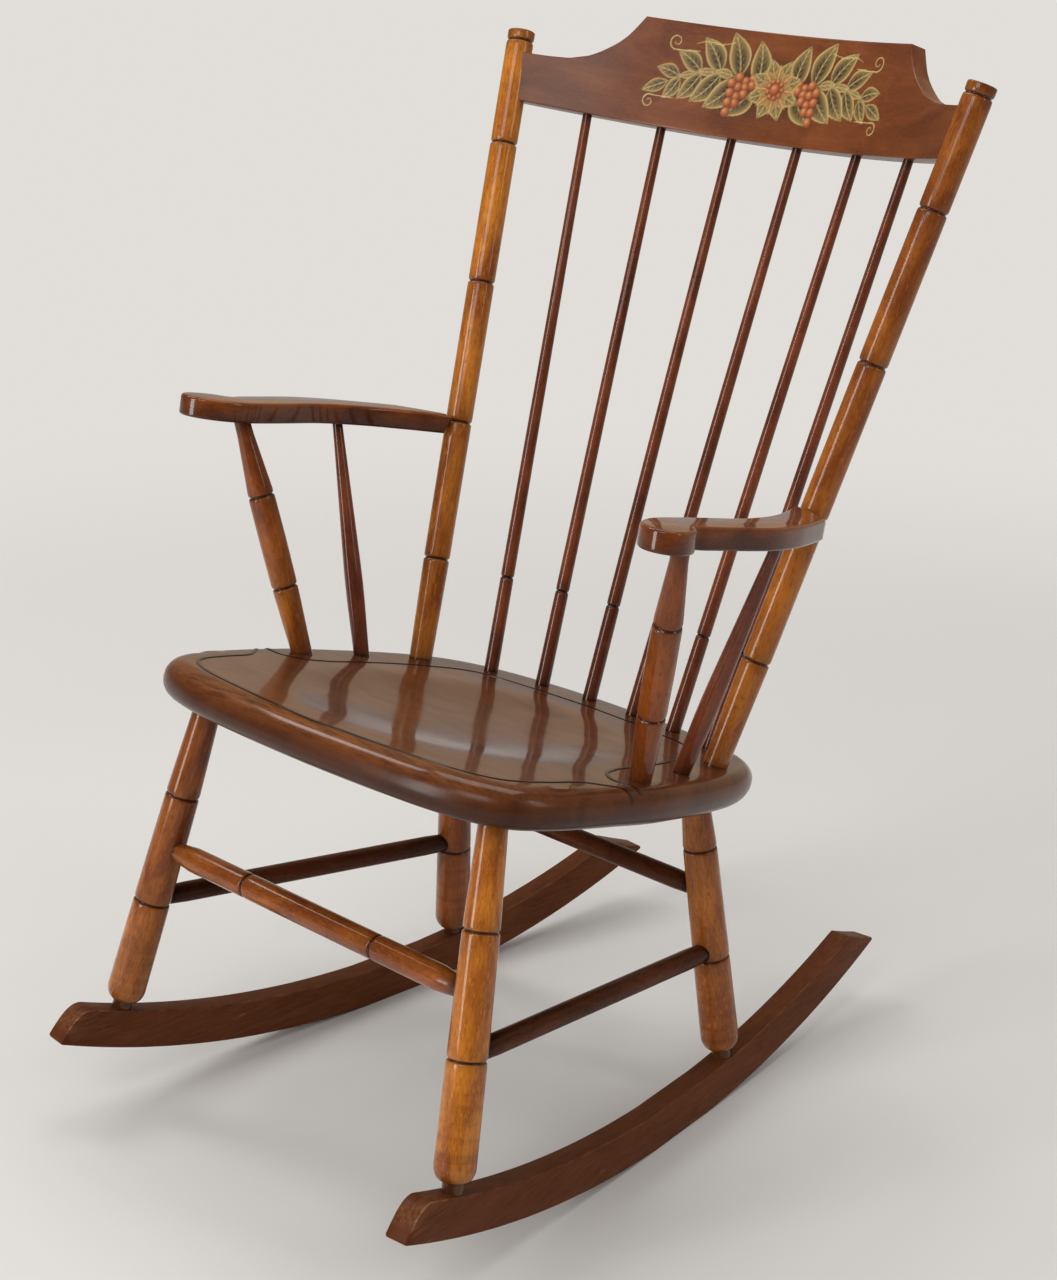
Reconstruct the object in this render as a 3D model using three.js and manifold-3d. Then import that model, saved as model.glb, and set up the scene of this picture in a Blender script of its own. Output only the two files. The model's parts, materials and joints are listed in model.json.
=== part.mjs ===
// A rocking chair with bamboo-style turnings, a saddled plank seat, flat arms and a bent crest rail.
// Millimetres, +Z up. The front faces -Y and the sitter's left is +X.
// Places on the seat, back and arms are worked out in the seat's own frame, whose origin lies
// on the seat's top and which leans back by restTilt. The rockers are worked out on the floor.
import * as THREE from "three";
import { mergeVertices } from "three/addons/utils/BufferGeometryUtils.js";
import Module from "manifold-3d";

const wasm = await Module();
wasm.setup();

// Fits
const clearance = 0.3; // gap between a tenon and its socket, all round and at its end

const mergeDistance = 0.003; // corners nearer than this are one corner

// How the chair rests
const restTilt = 14.9; // degrees that the seat leans back
const seatHeight = 363; // seat's own origin above the floor

// Seat plank
const seatWidth = 508;
const seatFront = 373; // from the seat's origin to its front edge
const seatBack = 91; // from the seat's origin to its back edge
const seatThickness = 38;
const seatTopRounding = 13;
const seatFrontRounding = 21;
const seatBottomRounding = 24; // under the sides and the back
const seatFrontBottomRounding = 15;
const seatDish = 7; // depth of the saddle
const seatDishWidth = 350;
const seatDishLength = 330;
const seatDishCentre = 165; // ahead of the seat's origin
const seatTenonDepth = 26; // how far legs and posts reach into the plank
const spindleTenonDepth = 20;
// Half the plank's outline, front middle to back middle: shares of half its width and of its length.
const seatOutlineShares = [
  [0, 0],
  [0.4, 0.01],
  [0.69, 0.035],
  [0.9, 0.094],
  [0.975, 0.22],
  [0.992, 0.362],
  [1, 0.459],
  [0.98, 0.558],
  [0.937, 0.707],
  [0.853, 0.845],
  [0.708, 0.925],
  [0.395, 0.983],
  [0, 1],
];

// Rockers
const rockerRadius = 980;
const rockerHeight = 40.5;
const rockerWidth = 23;
const rockerFlat = 86; // worn flat at the point of contact, on which the chair rests
const rockerFrontReach = 406; // from the point of contact to the nose
const rockerBackReach = 352; // from the point of contact to the rear tip
const rockerContact = 63; // from the seat's origin forward to the point of contact, on the floor
const rockerNoseLength = 66; // the top falls away over this length
const rockerBevelLength = 48; // the rear end is cut off along a slope of this length
const rockerTipHeight = 3;
const rockerEdgeBevel = 2;
const rockerFrontSpacing = 460; // between the rockers' middles at the front feet
const rockerBackSpacing = 378; // between the rockers' middles at the rear feet
const rockerTenonDepth = 27;

// Legs
const frontFootAhead = 332; // ahead of the point of contact
const backFootBehind = 83; // behind the point of contact
const frontLegSpread = 377; // between the tops of the front legs, at the seat's underside
const frontLegAhead = 301;
const backLegSpread = 320;
const backLegBehind = 10;
const legTopDiameter = 26;
const legUpperDiameter = 33;
const legLowerDiameter = 36;
const legWidestDiameter = 37.5;
const legNeckDiameter = 19;
const legTenonDiameter = 16;
const legNeckLength = 9;
const legFootRounding = 14;
const frontLegGrooveShares = [0.357, 0.702];
const backLegGrooveShares = [0.388, 0.798];

// Grooves that divide a turning into bamboo-like lengths
const grooveDepth = 1.6;
const grooveHalfWidth = 1.8;

// Stretchers
const frontStretcherDiameter = 24;
const sideStretcherDiameter = 20;
const stretcherTenonDiameter = 15;
const stretcherTenonDepth = 12; // into the leg, from its surface
const stretcherNeckDiameter = 18.5; // where a stretcher meets a leg
const frontStretcherLegShare = 0.531;
const sideStretcherFrontShare = 0.365;
const sideStretcherBackShare = 0.41;
const backStretcherLegShare = 0.636;
const frontStretcherGrooveShares = [0.29, 0.71];

// Back posts
const postHeight = 648; // above the seat, square to it
const postBaseSpread = 394;
const postTopSpread = 565;
const postBaseAhead = 17;
const postTopBehind = 55;
const postBaseDiameter = 23.4;
const postDiameter = 27;
const postTopDiameter = 28;
const postTopRounding = 3;
const postGrooveShares = [0.16, 0.377, 0.6, 0.821, 0.984];

// Crest rail
const crestHeight = 575; // of its lower edge above the seat, square to it
const crestRadius = 480; // of the bend, on the side that the sitter leans on
const crestThickness = 18;
const crestLean = 7.5; // degrees, from square to the seat
const crestTall = 109; // lower edge to upper edge in the middle
const crestEndTall = 49; // lower edge to upper edge at the posts
const crestShoulder = 166; // from the middle to the corner where the end is cut down
const crestLowerArch = 7.5; // the lower edge's middle above its ends
const crestUpperArch = 11; // the same for the upper edge, if it ran on to the posts
const crestEdgeBevel = 1.5;
const crestTenonLength = 12; // into the post, from its surface
const crestTenonRoot = 36; // of the tenon inwards from the post's axis, inside the board
const crestTenonTall = 26;
const crestTenonThickness = 9;
// The fall of the cut-down end, as shares of its run to the post and of its drop.
const crestCutShares = [
  [0, 0],
  [0.065, 0.21],
  [0.113, 0.35],
  [0.18, 0.49],
  [0.25, 0.6],
  [0.33, 0.71],
  [0.41, 0.8],
  [0.58, 0.91],
  [0.77, 0.96],
  [1, 1],
];
const crestPinDiameter = 4;
const crestPinLength = 18;

// Spindles of the back
const spindleCount = 6;
const spindleBaseGap = 58.6;
const spindleTopGap = 80.9;
const spindleArcRadius = 450; // of the row of sockets in the seat
const spindleRowBehind = 62; // the row's middle, behind the seat's origin
const spindleBaseDiameter = 14.8;
const spindleTopDiameter = 9.5;
const spindleCrestDepth = 16;
const spindleGrooveShare = 0.17;
const spindleGrooveDepth = 0.9;

// Arms
const armTop = 253; // of the top face above the seat, square to it, where it meets the post
const armThickness = 20;
const armRise = 2.9; // degrees that the arm's rear rises from the seat's plane
const armReach = 311; // from the post's axis to the front end
const armSpread = 85; // from the post's axis out to the widest point
const armEdgeRounding = 3.5;
const armCornerRounding = 0.8; // along the rear end, which meets the post
const armTenonDepth = 12;
const armDowelDiameter = 7;
const armDowelInPost = 8; // past the post's axis line towards its back
const armDowelLength = 34;
// The outline from the rear inner corner round the front to the rear outer corner:
// shares of armSpread outwards and of armReach forwards, from the post's axis.
const armOutlineShares = [
  [-0.127, 0.022],
  [-0.066, 0.087],
  [0.129, 0.2],
  [0.306, 0.321],
  [0.4, 0.434],
  [0.424, 0.53],
  [0.37, 0.643],
  [0.323, 0.755],
  [0.31, 0.846],
  [0.387, 0.922],
  [0.553, 0.979],
  [0.752, 1],
  [0.929, 0.984],
  [1, 0.943],
  [0.967, 0.889],
  [0.885, 0.854],
  [0.776, 0.827],
  [0.813, 0.778],
  [0.859, 0.691],
  [0.906, 0.595],
  [0.918, 0.501],
  [0.847, 0.386],
  [0.718, 0.276],
  [0.557, 0.16],
];

// Arm posts and arm spindles
const armPostBaseSpread = 448;
const armPostBaseAhead = 159;
const armPostOut = 50; // its top, outwards from the back post's axis
const armPostReach = 251; // its top, forwards from the back post's axis
const armPostBaseDiameter = 20.5;
const armPostLowerDiameter = 26;
const armPostUpperDiameter = 26.5;
const armPostTopDiameter = 15.5;
const armPostGrooveShares = [0.29, 0.68];
const armSpindleBaseSpread = 425;
const armSpindleBaseAhead = 87;
const armSpindleOut = 52;
const armSpindleReach = 122;
const armSpindleBaseDiameter = 15.7;
const armSpindleSwellDiameter = 19;
const armSpindleSwellShare = 0.3;
const armSpindleTopDiameter = 9.9;

// Screws that hold the rockers to the legs
const screwShankDiameter = 4.5;
const screwHeadDiameter = 9;
const screwHeadHeight = 3;
const screwHeadBelow = 33; // of the head's flat side below the rocker's top, along the leg
const screwShankReach = 20; // of the shank above the rocker's top
const screwRecessLength = 40; // of the hole under the head, which runs out of the rocker

// Faces on round work
const thickSides = 16;
const postSides = 14;
const middlingSides = 12;
const thinSides = 10;
const outlinePoints = 56;
const armOutlinePoints = 44;
const edgeSteps = 3;
const footSteps = 3;
const noseSteps = 5;
const dishSteps = 4;
const rockerFacet = 27;
const crestSteps = 30;

const sides = [
  { name: "left", sign: 1 },
  { name: "right", sign: -1 },
];
const finishes = {
  amber: [0x9c5522, 0.3],
  red: [0x6e3019, 0.28],
  dark: [0x3a1a10, 0.35],
  rocker: [0x4d2413, 0.55],
  steel: [0x8a8a86, 0.35],
};

function vector(x, y, z) {
  return new THREE.Vector3(x, y, z);
}

// The seat's own frame, seen from the floor.
const seatFrame = new THREE.Matrix4()
  .makeRotationX(-THREE.MathUtils.degToRad(restTilt))
  .setPosition(0, 0, seatHeight);

function onFloor(x, y, z) {
  return vector(x, y, z).applyMatrix4(seatFrame);
}

function materialOf(finish) {
  const [color, roughness] = finishes[finish];
  const metalness = finish === "steel" ? 1 : 0;
  return new THREE.MeshStandardMaterial({ color, roughness, metalness });
}

// A piece is a geometry in its own frame, the matrix that places it on the floor, and a name.
function makePiece(name, finish, geometry, matrix) {
  return { name, finish, geometry, matrix };
}

function solidOf(geometry, matrix) {
  const bare = new THREE.BufferGeometry();
  const source = geometry.index ? geometry.toNonIndexed() : geometry.clone();
  bare.setAttribute("position", source.getAttribute("position"));
  bare.applyMatrix4(matrix);
  const merged = mergeVertices(bare, mergeDistance);
  const corners = Array.from(merged.index.array);
  const triangles = [];
  for (let i = 0; i < corners.length; i += 3) {
    const [a, b, c] = corners.slice(i, i + 3);
    if (a !== b && b !== c && c !== a) triangles.push(a, b, c);
  }
  return new wasm.Manifold(
    new wasm.Mesh({
      numProp: 3,
      vertProperties: merged.attributes.position.array,
      triVerts: new Uint32Array(triangles),
    }),
  );
}

function geometryOf(solid) {
  const mesh = solid.getMesh();
  const geometry = new THREE.BufferGeometry();
  geometry.setAttribute("position", new THREE.BufferAttribute(mesh.vertProperties, mesh.numProp));
  geometry.setIndex(new THREE.BufferAttribute(mesh.triVerts, 1));
  const faceted = geometry.toNonIndexed();
  faceted.computeVertexNormals();
  return faceted;
}

// The largest of a solid's separate bodies: slivers that a cut leaves are dropped.
function largestBody(solid) {
  return solid.decompose().sort((a, b) => b.volume() - a.volume())[0];
}

// Cuts each cutter's shape out of a piece, in the piece's own frame.
function carve(piece, cutters) {
  const toOwn = piece.matrix.clone().invert();
  let solid = solidOf(piece.geometry, new THREE.Matrix4());
  for (const cutter of cutters) {
    solid = solid.subtract(solidOf(cutter.geometry, toOwn.clone().multiply(cutter.matrix)));
  }
  piece.geometry = geometryOf(largestBody(solid));
}

// The direction about which a ring's points turn anticlockwise
function ringNormal(ring) {
  const normal = vector(0, 0, 0);
  ring.forEach((p, i) => normal.add(vector(0, 0, 0).crossVectors(p, ring[(i + 1) % ring.length])));
  return normal.normalize();
}

function ringCentre(ring) {
  return ring.reduce((sum, p) => sum.add(p), vector(0, 0, 0)).divideScalar(ring.length);
}

// A closed skin through rings of points that all have the same count, with flat ends. The rings
// are taken in the order that makes the skin face outwards.
function skin(givenRings) {
  const run = ringCentre(givenRings[givenRings.length - 1]).sub(ringCentre(givenRings[0]));
  const rings = ringNormal(givenRings[0]).dot(run) < 0 ? givenRings.slice().reverse() : givenRings;
  const points = rings.flat();
  const count = rings[0].length;
  const faces = [];
  for (let r = 0; r + 1 < rings.length; r += 1) {
    for (let i = 0; i < count; i += 1) {
      const j = (i + 1) % count;
      const low = r * count;
      const high = low + count;
      faces.push(low + i, low + j, high + j, low + i, high + j, high + i);
    }
  }
  const capEnd = (start, plane, outwards) => {
    const flat = plane.map((p) => new THREE.Vector2(p.u, p.v));
    for (const [a, b, c] of THREE.ShapeUtils.triangulateShape(flat, [])) {
      faces.push(start + a, start + (outwards ? b : c), start + (outwards ? c : b));
    }
  };
  const [first, last] = [rings[0], rings[rings.length - 1]];
  const axes = capAxes(first);
  capEnd(0, first.map(axes), false);
  capEnd((rings.length - 1) * count, last.map(axes), true);
  const geometry = new THREE.BufferGeometry();
  geometry.setAttribute(
    "position",
    new THREE.Float32BufferAttribute(points.flatMap((p) => [p.x, p.y, p.z]), 3),
  );
  geometry.setIndex(faces);
  return geometry;
}

// Two axes across a ring, right-handed about the ring's own turning direction.
function capAxes(ring) {
  const normal = ringNormal(ring);
  const helper = Math.abs(normal.z) > Math.SQRT1_2 ? vector(1, 0, 0) : vector(0, 0, 1);
  const u = vector(0, 0, 0).crossVectors(helper, normal).normalize();
  const v = vector(0, 0, 0).crossVectors(normal, u);
  return (p) => ({ u: p.dot(u), v: p.dot(v) });
}

// The same shape on the chair's other side.
function mirrored(geometry) {
  const copy = geometry.clone();
  copy.applyMatrix4(new THREE.Matrix4().makeScale(-1, 1, 1));
  const source = copy.index.array.slice();
  for (let i = 0; i < source.length; i += 3) {
    copy.index.array[i + 1] = source[i + 2];
    copy.index.array[i + 2] = source[i + 1];
  }
  return copy;
}

function sidedGeometry(geometry, side) {
  return side.sign > 0 ? geometry : mirrored(geometry);
}

// Moves each point of a closed outline inwards, so that both of its edges move by the distance.
function insetOutline(outline, distances) {
  const inwards = outline.map((p, i) => {
    const next = outline[(i + 1) % outline.length];
    return new THREE.Vector2(p.y - next.y, next.x - p.x).normalize();
  });
  return outline.map((p, i) => {
    const before = inwards[(i + outline.length - 1) % outline.length];
    const after = inwards[i];
    const move = before.clone().add(after).multiplyScalar(distances[i] / (1 + before.dot(after)));
    move.clampLength(0, Math.SQRT2 * distances[i]);
    return new THREE.Vector2(p.x, p.y).add(move);
  });
}

// A plank with rounded edges. The outline turns anticlockwise seen from above, the roundings hold
// one radius for each of its points, and the plank's top lies at height zero.
function plankRings(outline, thickness, topRoundings, bottomRoundings) {
  const rings = [];
  for (let step = 0; step <= edgeSteps; step += 1) {
    const angle = (Math.PI / 2) * (step / edgeSteps);
    const ring = insetOutline(outline, bottomRoundings.map((r) => r * (1 - Math.sin(angle))));
    const heights = bottomRoundings.map((r) => r * (1 - Math.cos(angle)) - thickness);
    rings.push(ring.map((p, i) => vector(p.x, p.y, heights[i])));
  }
  for (let step = 0; step <= edgeSteps; step += 1) {
    const angle = (Math.PI / 2) * (step / edgeSteps);
    const ring = insetOutline(outline, topRoundings.map((r) => r * (1 - Math.cos(angle))));
    rings.push(ring.map((p, i) => vector(p.x, p.y, -topRoundings[i] * (1 - Math.sin(angle)))));
  }
  return rings;
}

// Round work turned on its own +Z axis, whose profile lists [distance along, radius].
// A cutter for its socket is the same form, larger by the clearance.
function lathed(profile, sidesAround, growth) {
  const first = profile[0];
  const last = profile[profile.length - 1];
  const points = [new THREE.Vector2(0, first[0] - growth)];
  profile.forEach(([along, radius], i) => {
    const end = i === 0 ? -growth : i === profile.length - 1 ? growth : 0;
    points.push(new THREE.Vector2(radius + growth, along + end));
  });
  points.push(new THREE.Vector2(0, last[0] + growth));
  return new THREE.LatheGeometry(points, sidesAround).rotateX(Math.PI / 2);
}

function axisMatrix(from, to) {
  const direction = to.clone().sub(from).normalize();
  const turn = new THREE.Quaternion().setFromUnitVectors(vector(0, 0, 1), direction);
  return new THREE.Matrix4().compose(from, turn, vector(1, 1, 1));
}

// A turned piece between two points, with the cutter that makes its sockets.
function turn(name, finish, profile, from, to, sidesAround) {
  const matrix = axisMatrix(from, to);
  const piece = makePiece(name, finish, lathed(profile, sidesAround, 0), matrix);
  piece.cutter = makePiece(name, finish, lathed(profile, sidesAround, clearance), matrix);
  return piece;
}

function smoothstep(value, low, high) {
  return THREE.MathUtils.smoothstep(value, low, high);
}

// Puts a V groove into a profile at each place in a list.
function withGrooves(profile, places, depth) {
  const radiusAt = (along) => {
    const next = profile.findIndex(([a]) => a >= along);
    const [[a0, r0], [a1, r1]] = [profile[next - 1], profile[next]];
    return r0 + ((r1 - r0) * (along - a0)) / (a1 - a0);
  };
  const cuts = places.flatMap((place) => [
    [place - grooveHalfWidth, radiusAt(place - grooveHalfWidth)],
    [place, radiusAt(place) - depth],
    [place + grooveHalfWidth, radiusAt(place + grooveHalfWidth)],
  ]);
  const clear = profile.filter(([a]) => places.every((p) => Math.abs(a - p) > grooveHalfWidth));
  return [...clear, ...cuts].sort((a, b) => a[0] - b[0]);
}

// The seat
function seatOutline() {
  const half = seatOutlineShares.map(
    ([across, along]) =>
      vector((across * seatWidth) / 2, -seatFront + along * (seatFront + seatBack), 0),
  );
  const other = half.slice(1, -1).reverse();
  const loop = [...half, ...other.map((p) => vector(-p.x, p.y, 0))];
  const curve = new THREE.CatmullRomCurve3(loop, true, "centripetal");
  return curve.getSpacedPoints(outlinePoints).slice(0, outlinePoints);
}

function seatSag(x, y) {
  const across = (2 * x) / seatDishWidth;
  const along = (2 * (y + seatDishCentre)) / seatDishLength;
  const inside = Math.max(0, 1 - across * across - along * along);
  return -seatDish * smoothstep(inside, 0, 1);
}

function makeSeat() {
  const outline = seatOutline();
  const blend = (elsewhere, atFront) => (p) => {
    const frontness = smoothstep(-p.y, seatDishCentre, seatFront);
    return THREE.MathUtils.lerp(elsewhere, atFront, frontness);
  };
  const roundings = outline.map(blend(seatTopRounding, seatFrontRounding));
  const underRoundings = outline.map(blend(seatBottomRounding, seatFrontBottomRounding));
  const rings = plankRings(outline, seatThickness, roundings, underRoundings);
  const rim = rings[rings.length - 1];
  for (let step = 1; step <= dishSteps; step += 1) {
    const share = 1 - step / (dishSteps + 1);
    const ring = rim.map((p) => {
      const x = p.x * share;
      const y = -seatDishCentre + (p.y + seatDishCentre) * share;
      return vector(x, y, seatSag(x, y));
    });
    rings.push(ring);
  }
  return makePiece("seat", "red", skin(rings), seatFrame.clone());
}

// The rockers, each in a frame that starts at its point of contact and points backwards.
const footRun = frontFootAhead + backFootBehind;
const toeIn = Math.asin((rockerFrontSpacing - rockerBackSpacing) / 2 / footRun);

function rockerHalfSpacing(along) {
  const front = rockerFrontSpacing / 2;
  return front - (along + frontFootAhead) * Math.sin(toeIn);
}

function rockerFrame(side) {
  return new THREE.Matrix4()
    .makeRotationZ(side.sign * toeIn)
    .setPosition(side.sign * rockerHalfSpacing(0), -rockerContact, 0);
}

function rockerUnder(along) {
  const rise = (s) => rockerRadius - Math.sqrt(rockerRadius ** 2 - s ** 2);
  return Math.max(0, rise(along) - rise(rockerFlat / 2));
}

function rockerTall(along) {
  const nose = THREE.MathUtils.clamp((along + rockerFrontReach) / rockerNoseLength, 0, 1);
  const bevel = THREE.MathUtils.clamp((rockerBackReach - along) / rockerBevelLength, 0, 1);
  const rounded = Math.sqrt(1 - (1 - nose) ** 2);
  return rockerTipHeight + (rockerHeight - rockerTipHeight) * Math.min(rounded, bevel);
}

function rockerStations() {
  const stations = [-rockerFrontReach];
  for (let step = 1; step <= noseSteps; step += 1) {
    const angle = (Math.PI / 2) * (step / noseSteps);
    stations.push(-rockerFrontReach + rockerNoseLength * (1 - Math.cos(angle)));
  }
  const noseEnd = -rockerFrontReach + rockerNoseLength;
  const bevelStart = rockerBackReach - rockerBevelLength;
  const frontFacets = Math.round((-rockerFlat / 2 - noseEnd) / rockerFacet);
  const backFacets = Math.round((bevelStart - rockerFlat / 2) / rockerFacet);
  for (let step = 1; step <= frontFacets; step += 1) {
    stations.push(THREE.MathUtils.lerp(noseEnd, -rockerFlat / 2, step / frontFacets));
  }
  for (let step = 0; step <= backFacets; step += 1) {
    stations.push(THREE.MathUtils.lerp(rockerFlat / 2, bevelStart, step / backFacets));
  }
  stations.push(bevelStart + rockerBevelLength / 2, rockerBackReach);
  return stations;
}

function rockerGeometry() {
  const half = rockerWidth / 2;
  const rings = rockerStations().map((along) => {
    const low = rockerUnder(along);
    const high = low + rockerTall(along);
    const bevel = Math.min(rockerEdgeBevel, (high - low) / 3);
    return [
      vector(-half + bevel, along, low),
      vector(half - bevel, along, low),
      vector(half, along, low + bevel),
      vector(half, along, high - bevel),
      vector(half - bevel, along, high),
      vector(-half + bevel, along, high),
      vector(-half, along, high - bevel),
      vector(-half, along, low + bevel),
    ];
  });
  return skin(rings);
}

function makeRocker(side) {
  return makePiece(`rocker_${side.name}`, "rocker", rockerGeometry(), rockerFrame(side));
}

function footPoint(side, along) {
  return vector(0, along, rockerUnder(along) + rockerTall(along)).applyMatrix4(rockerFrame(side));
}

// The legs, from the rocker's top to the seat's underside
function legEnds(side, kind) {
  const front = kind === "front";
  const foot = footPoint(side, front ? -frontFootAhead : backFootBehind);
  const spread = (front ? frontLegSpread : backLegSpread) / 2;
  const along = front ? -frontLegAhead : backLegBehind;
  return { foot, top: onFloor(side.sign * spread, along, -seatThickness) };
}

function legProfile(length, grooveShares) {
  const [lower, upper] = grooveShares.map((share) => share * length);
  const footStart = legNeckLength;
  const widest = legWidestDiameter / 2;
  const neck = legNeckDiameter / 2;
  const profile = [
    [-rockerTenonDepth, legTenonDiameter / 2],
    [-clearance, neck],
    [footStart, neck],
  ];
  for (let step = 1; step <= footSteps; step += 1) {
    const angle = (Math.PI / 2) * (step / footSteps);
    const radius = neck + (widest - neck) * Math.sin(angle);
    profile.push([footStart + legFootRounding * (1 - Math.cos(angle)), radius]);
  }
  profile.push([lower, legLowerDiameter / 2]);
  profile.push([upper, legUpperDiameter / 2]);
  profile.push([length, legTopDiameter / 2]);
  profile.push([length + seatTenonDepth, legTopDiameter / 2 - clearance]);
  return withGrooves(profile, [lower, upper], grooveDepth);
}

function makeLeg(side, kind) {
  const { foot, top } = legEnds(side, kind);
  const shares = kind === "front" ? frontLegGrooveShares : backLegGrooveShares;
  const profile = legProfile(foot.distanceTo(top), shares);
  return turn(`${kind}_leg_${side.name}`, "amber", profile, foot, top, thickSides);
}

// A point on a leg's axis, and how thick the leg is there
function onLeg(side, kind, share) {
  const { foot, top } = legEnds(side, kind);
  const shares = kind === "front" ? frontLegGrooveShares : backLegGrooveShares;
  const [lower, upper] = shares;
  const span = (low, high, a, b) => a + ((b - a) * (share - low)) / (high - low);
  const diameter =
    share < lower
      ? span(0, lower, legWidestDiameter, legLowerDiameter)
      : share < upper
        ? span(lower, upper, legLowerDiameter, legUpperDiameter)
        : span(upper, 1, legUpperDiameter, legTopDiameter);
  return { point: foot.clone().lerp(top, share), radius: diameter / 2 };
}

// A stretcher between two legs, whose tapered ends are let into them
function makeStretcher(name, finish, diameter, start, end, grooveShares) {
  const length = start.point.distanceTo(end.point);
  const tenon = stretcherTenonDiameter / 2;
  const neck = stretcherNeckDiameter / 2;
  const nearEnd = start.radius - stretcherTenonDepth;
  const farEnd = length - end.radius + stretcherTenonDepth;
  const places = grooveShares.map((share) => share * length);
  const plain = [
    [nearEnd, tenon],
    [start.radius, neck],
    [start.radius + diameter, diameter / 2],
    [length - end.radius - diameter, diameter / 2],
    [length - end.radius, neck],
    [farEnd, tenon],
  ];
  const profile = withGrooves(plain, places, grooveDepth);
  return turn(name, finish, profile, start.point, end.point, middlingSides);
}

// The back posts
function postAxis(side) {
  const base = vector((side.sign * postBaseSpread) / 2, -postBaseAhead, 0);
  const top = vector((side.sign * postTopSpread) / 2, postTopBehind, postHeight);
  return { base, top };
}

// A point on a post's axis at a height above the seat, in the seat's frame
function onPost(side, height) {
  const { base, top } = postAxis(side);
  return base.lerp(top, height / postHeight);
}

function makePost(side) {
  const { base, top } = postAxis(side);
  const length = base.distanceTo(top);
  const places = postGrooveShares.map((share) => share * length);
  const lastGroove = places[places.length - 1];
  const plain = [
    [-seatTenonDepth, postBaseDiameter / 2 - clearance],
    [0, postBaseDiameter / 2],
    [places[0], postDiameter / 2],
    [lastGroove - 2 * grooveHalfWidth, postTopDiameter / 2],
    [length - postTopRounding, postTopDiameter / 2],
    [length, postTopDiameter / 2 - postTopRounding],
  ];
  const profile = withGrooves(plain, places, grooveDepth);
  const from = base.applyMatrix4(seatFrame);
  const to = top.applyMatrix4(seatFrame);
  return turn(`back_post_${side.name}`, "amber", profile, from, to, postSides);
}

// The crest rail, in a frame whose origin is the middle of its lower edge on the front face
const crestPost = onPost(sides[0], crestHeight);
const crestMiddleRadius = crestRadius + crestThickness / 2; // its middle meets the posts' axes
const crestEndAngle = Math.asin(crestPost.x / crestMiddleRadius);
const crestSagitta = crestMiddleRadius * (1 - Math.cos(crestEndAngle));
const crestRun = crestRadius * crestEndAngle; // along the bend, from the middle to a post's axis
const crestLeanAngle = THREE.MathUtils.degToRad(crestLean);
const crestSetBack = (crestSagitta - crestThickness / 2) * Math.cos(crestLeanAngle);
const crestFrame = seatFrame
  .clone()
  .multiply(
    new THREE.Matrix4()
      .makeRotationX(-crestLeanAngle)
      .setPosition(0, crestPost.y + crestSetBack, crestHeight),
  );

// A point of the bent board: along the bend, up the board, and behind its front face
function onCrest(along, up, behind) {
  const angle = along / crestRadius;
  const radius = crestRadius + behind;
  return vector(radius * Math.sin(angle), radius * Math.cos(angle) - crestRadius, up);
}

function crestLower(along) {
  return -crestLowerArch * (along / crestRun) ** 2;
}

function crestFull(along) {
  return crestTall - crestUpperArch * (along / crestRun) ** 2;
}

function crestUpper(along) {
  const out = Math.abs(along);
  if (out <= crestShoulder) return crestFull(along);
  const share = Math.min(1, (out - crestShoulder) / (crestRun - crestShoulder));
  const next = crestCutShares.findIndex(([across]) => across >= share);
  const [[a0, d0], [a1, d1]] = [crestCutShares[next - 1], crestCutShares[next]];
  const fall = d0 + ((d1 - d0) * (share - a0)) / (a1 - a0);
  return THREE.MathUtils.lerp(crestFull(crestShoulder), crestLower(crestRun) + crestEndTall, fall);
}

function crestStations() {
  const stations = [];
  for (let step = 0; step <= crestSteps; step += 1) {
    stations.push(crestShoulder * ((2 * step) / crestSteps - 1));
  }
  const outer = crestCutShares
    .slice(1)
    .map(([share]) => crestShoulder + share * (crestRun - crestShoulder));
  return [...outer.map((along) => -along).reverse(), ...stations, ...outer];
}

function crestGeometry() {
  const bevel = crestEdgeBevel;
  const back = crestThickness;
  const rings = crestStations().map((along) => {
    const low = crestLower(along);
    const high = crestUpper(along);
    return [
      onCrest(along, low + bevel, 0),
      onCrest(along, high - bevel, 0),
      onCrest(along, high, bevel),
      onCrest(along, high, back - bevel),
      onCrest(along, high - bevel, back),
      onCrest(along, low + bevel, back),
      onCrest(along, low, back - bevel),
      onCrest(along, low, bevel),
    ];
  });
  return skin(rings);
}

// The tenon on each end of the crest rail, which follows the bend into the post
function crestTenon(side, growth) {
  const middle = crestLower(crestRun) + crestEndTall / 2;
  const low = middle - crestTenonTall / 2 - growth;
  const high = middle + crestTenonTall / 2 + growth;
  const front = (crestThickness - crestTenonThickness) / 2 - growth;
  const back = (crestThickness + crestTenonThickness) / 2 + growth;
  const inner = crestRun - crestTenonRoot;
  const outer = crestRun - postDiameter / 2 + crestTenonLength + growth;
  const rings = [inner, outer].map((along) => [
    onCrest(along, low, front),
    onCrest(along, high, front),
    onCrest(along, high, back),
    onCrest(along, low, back),
  ]);
  return makePiece("crest_tenon", "red", sidedGeometry(skin(rings), side), crestFrame);
}

function makeCrest(posts) {
  const piece = makePiece("crest_rail", "red", crestGeometry(), crestFrame);
  carve(piece, posts.map((post) => post.cutter));
  let solid = solidOf(piece.geometry, new THREE.Matrix4());
  for (const side of sides) {
    solid = solid.add(solidOf(crestTenon(side, 0).geometry, new THREE.Matrix4()));
  }
  piece.geometry = geometryOf(largestBody(solid));
  return piece;
}

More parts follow.
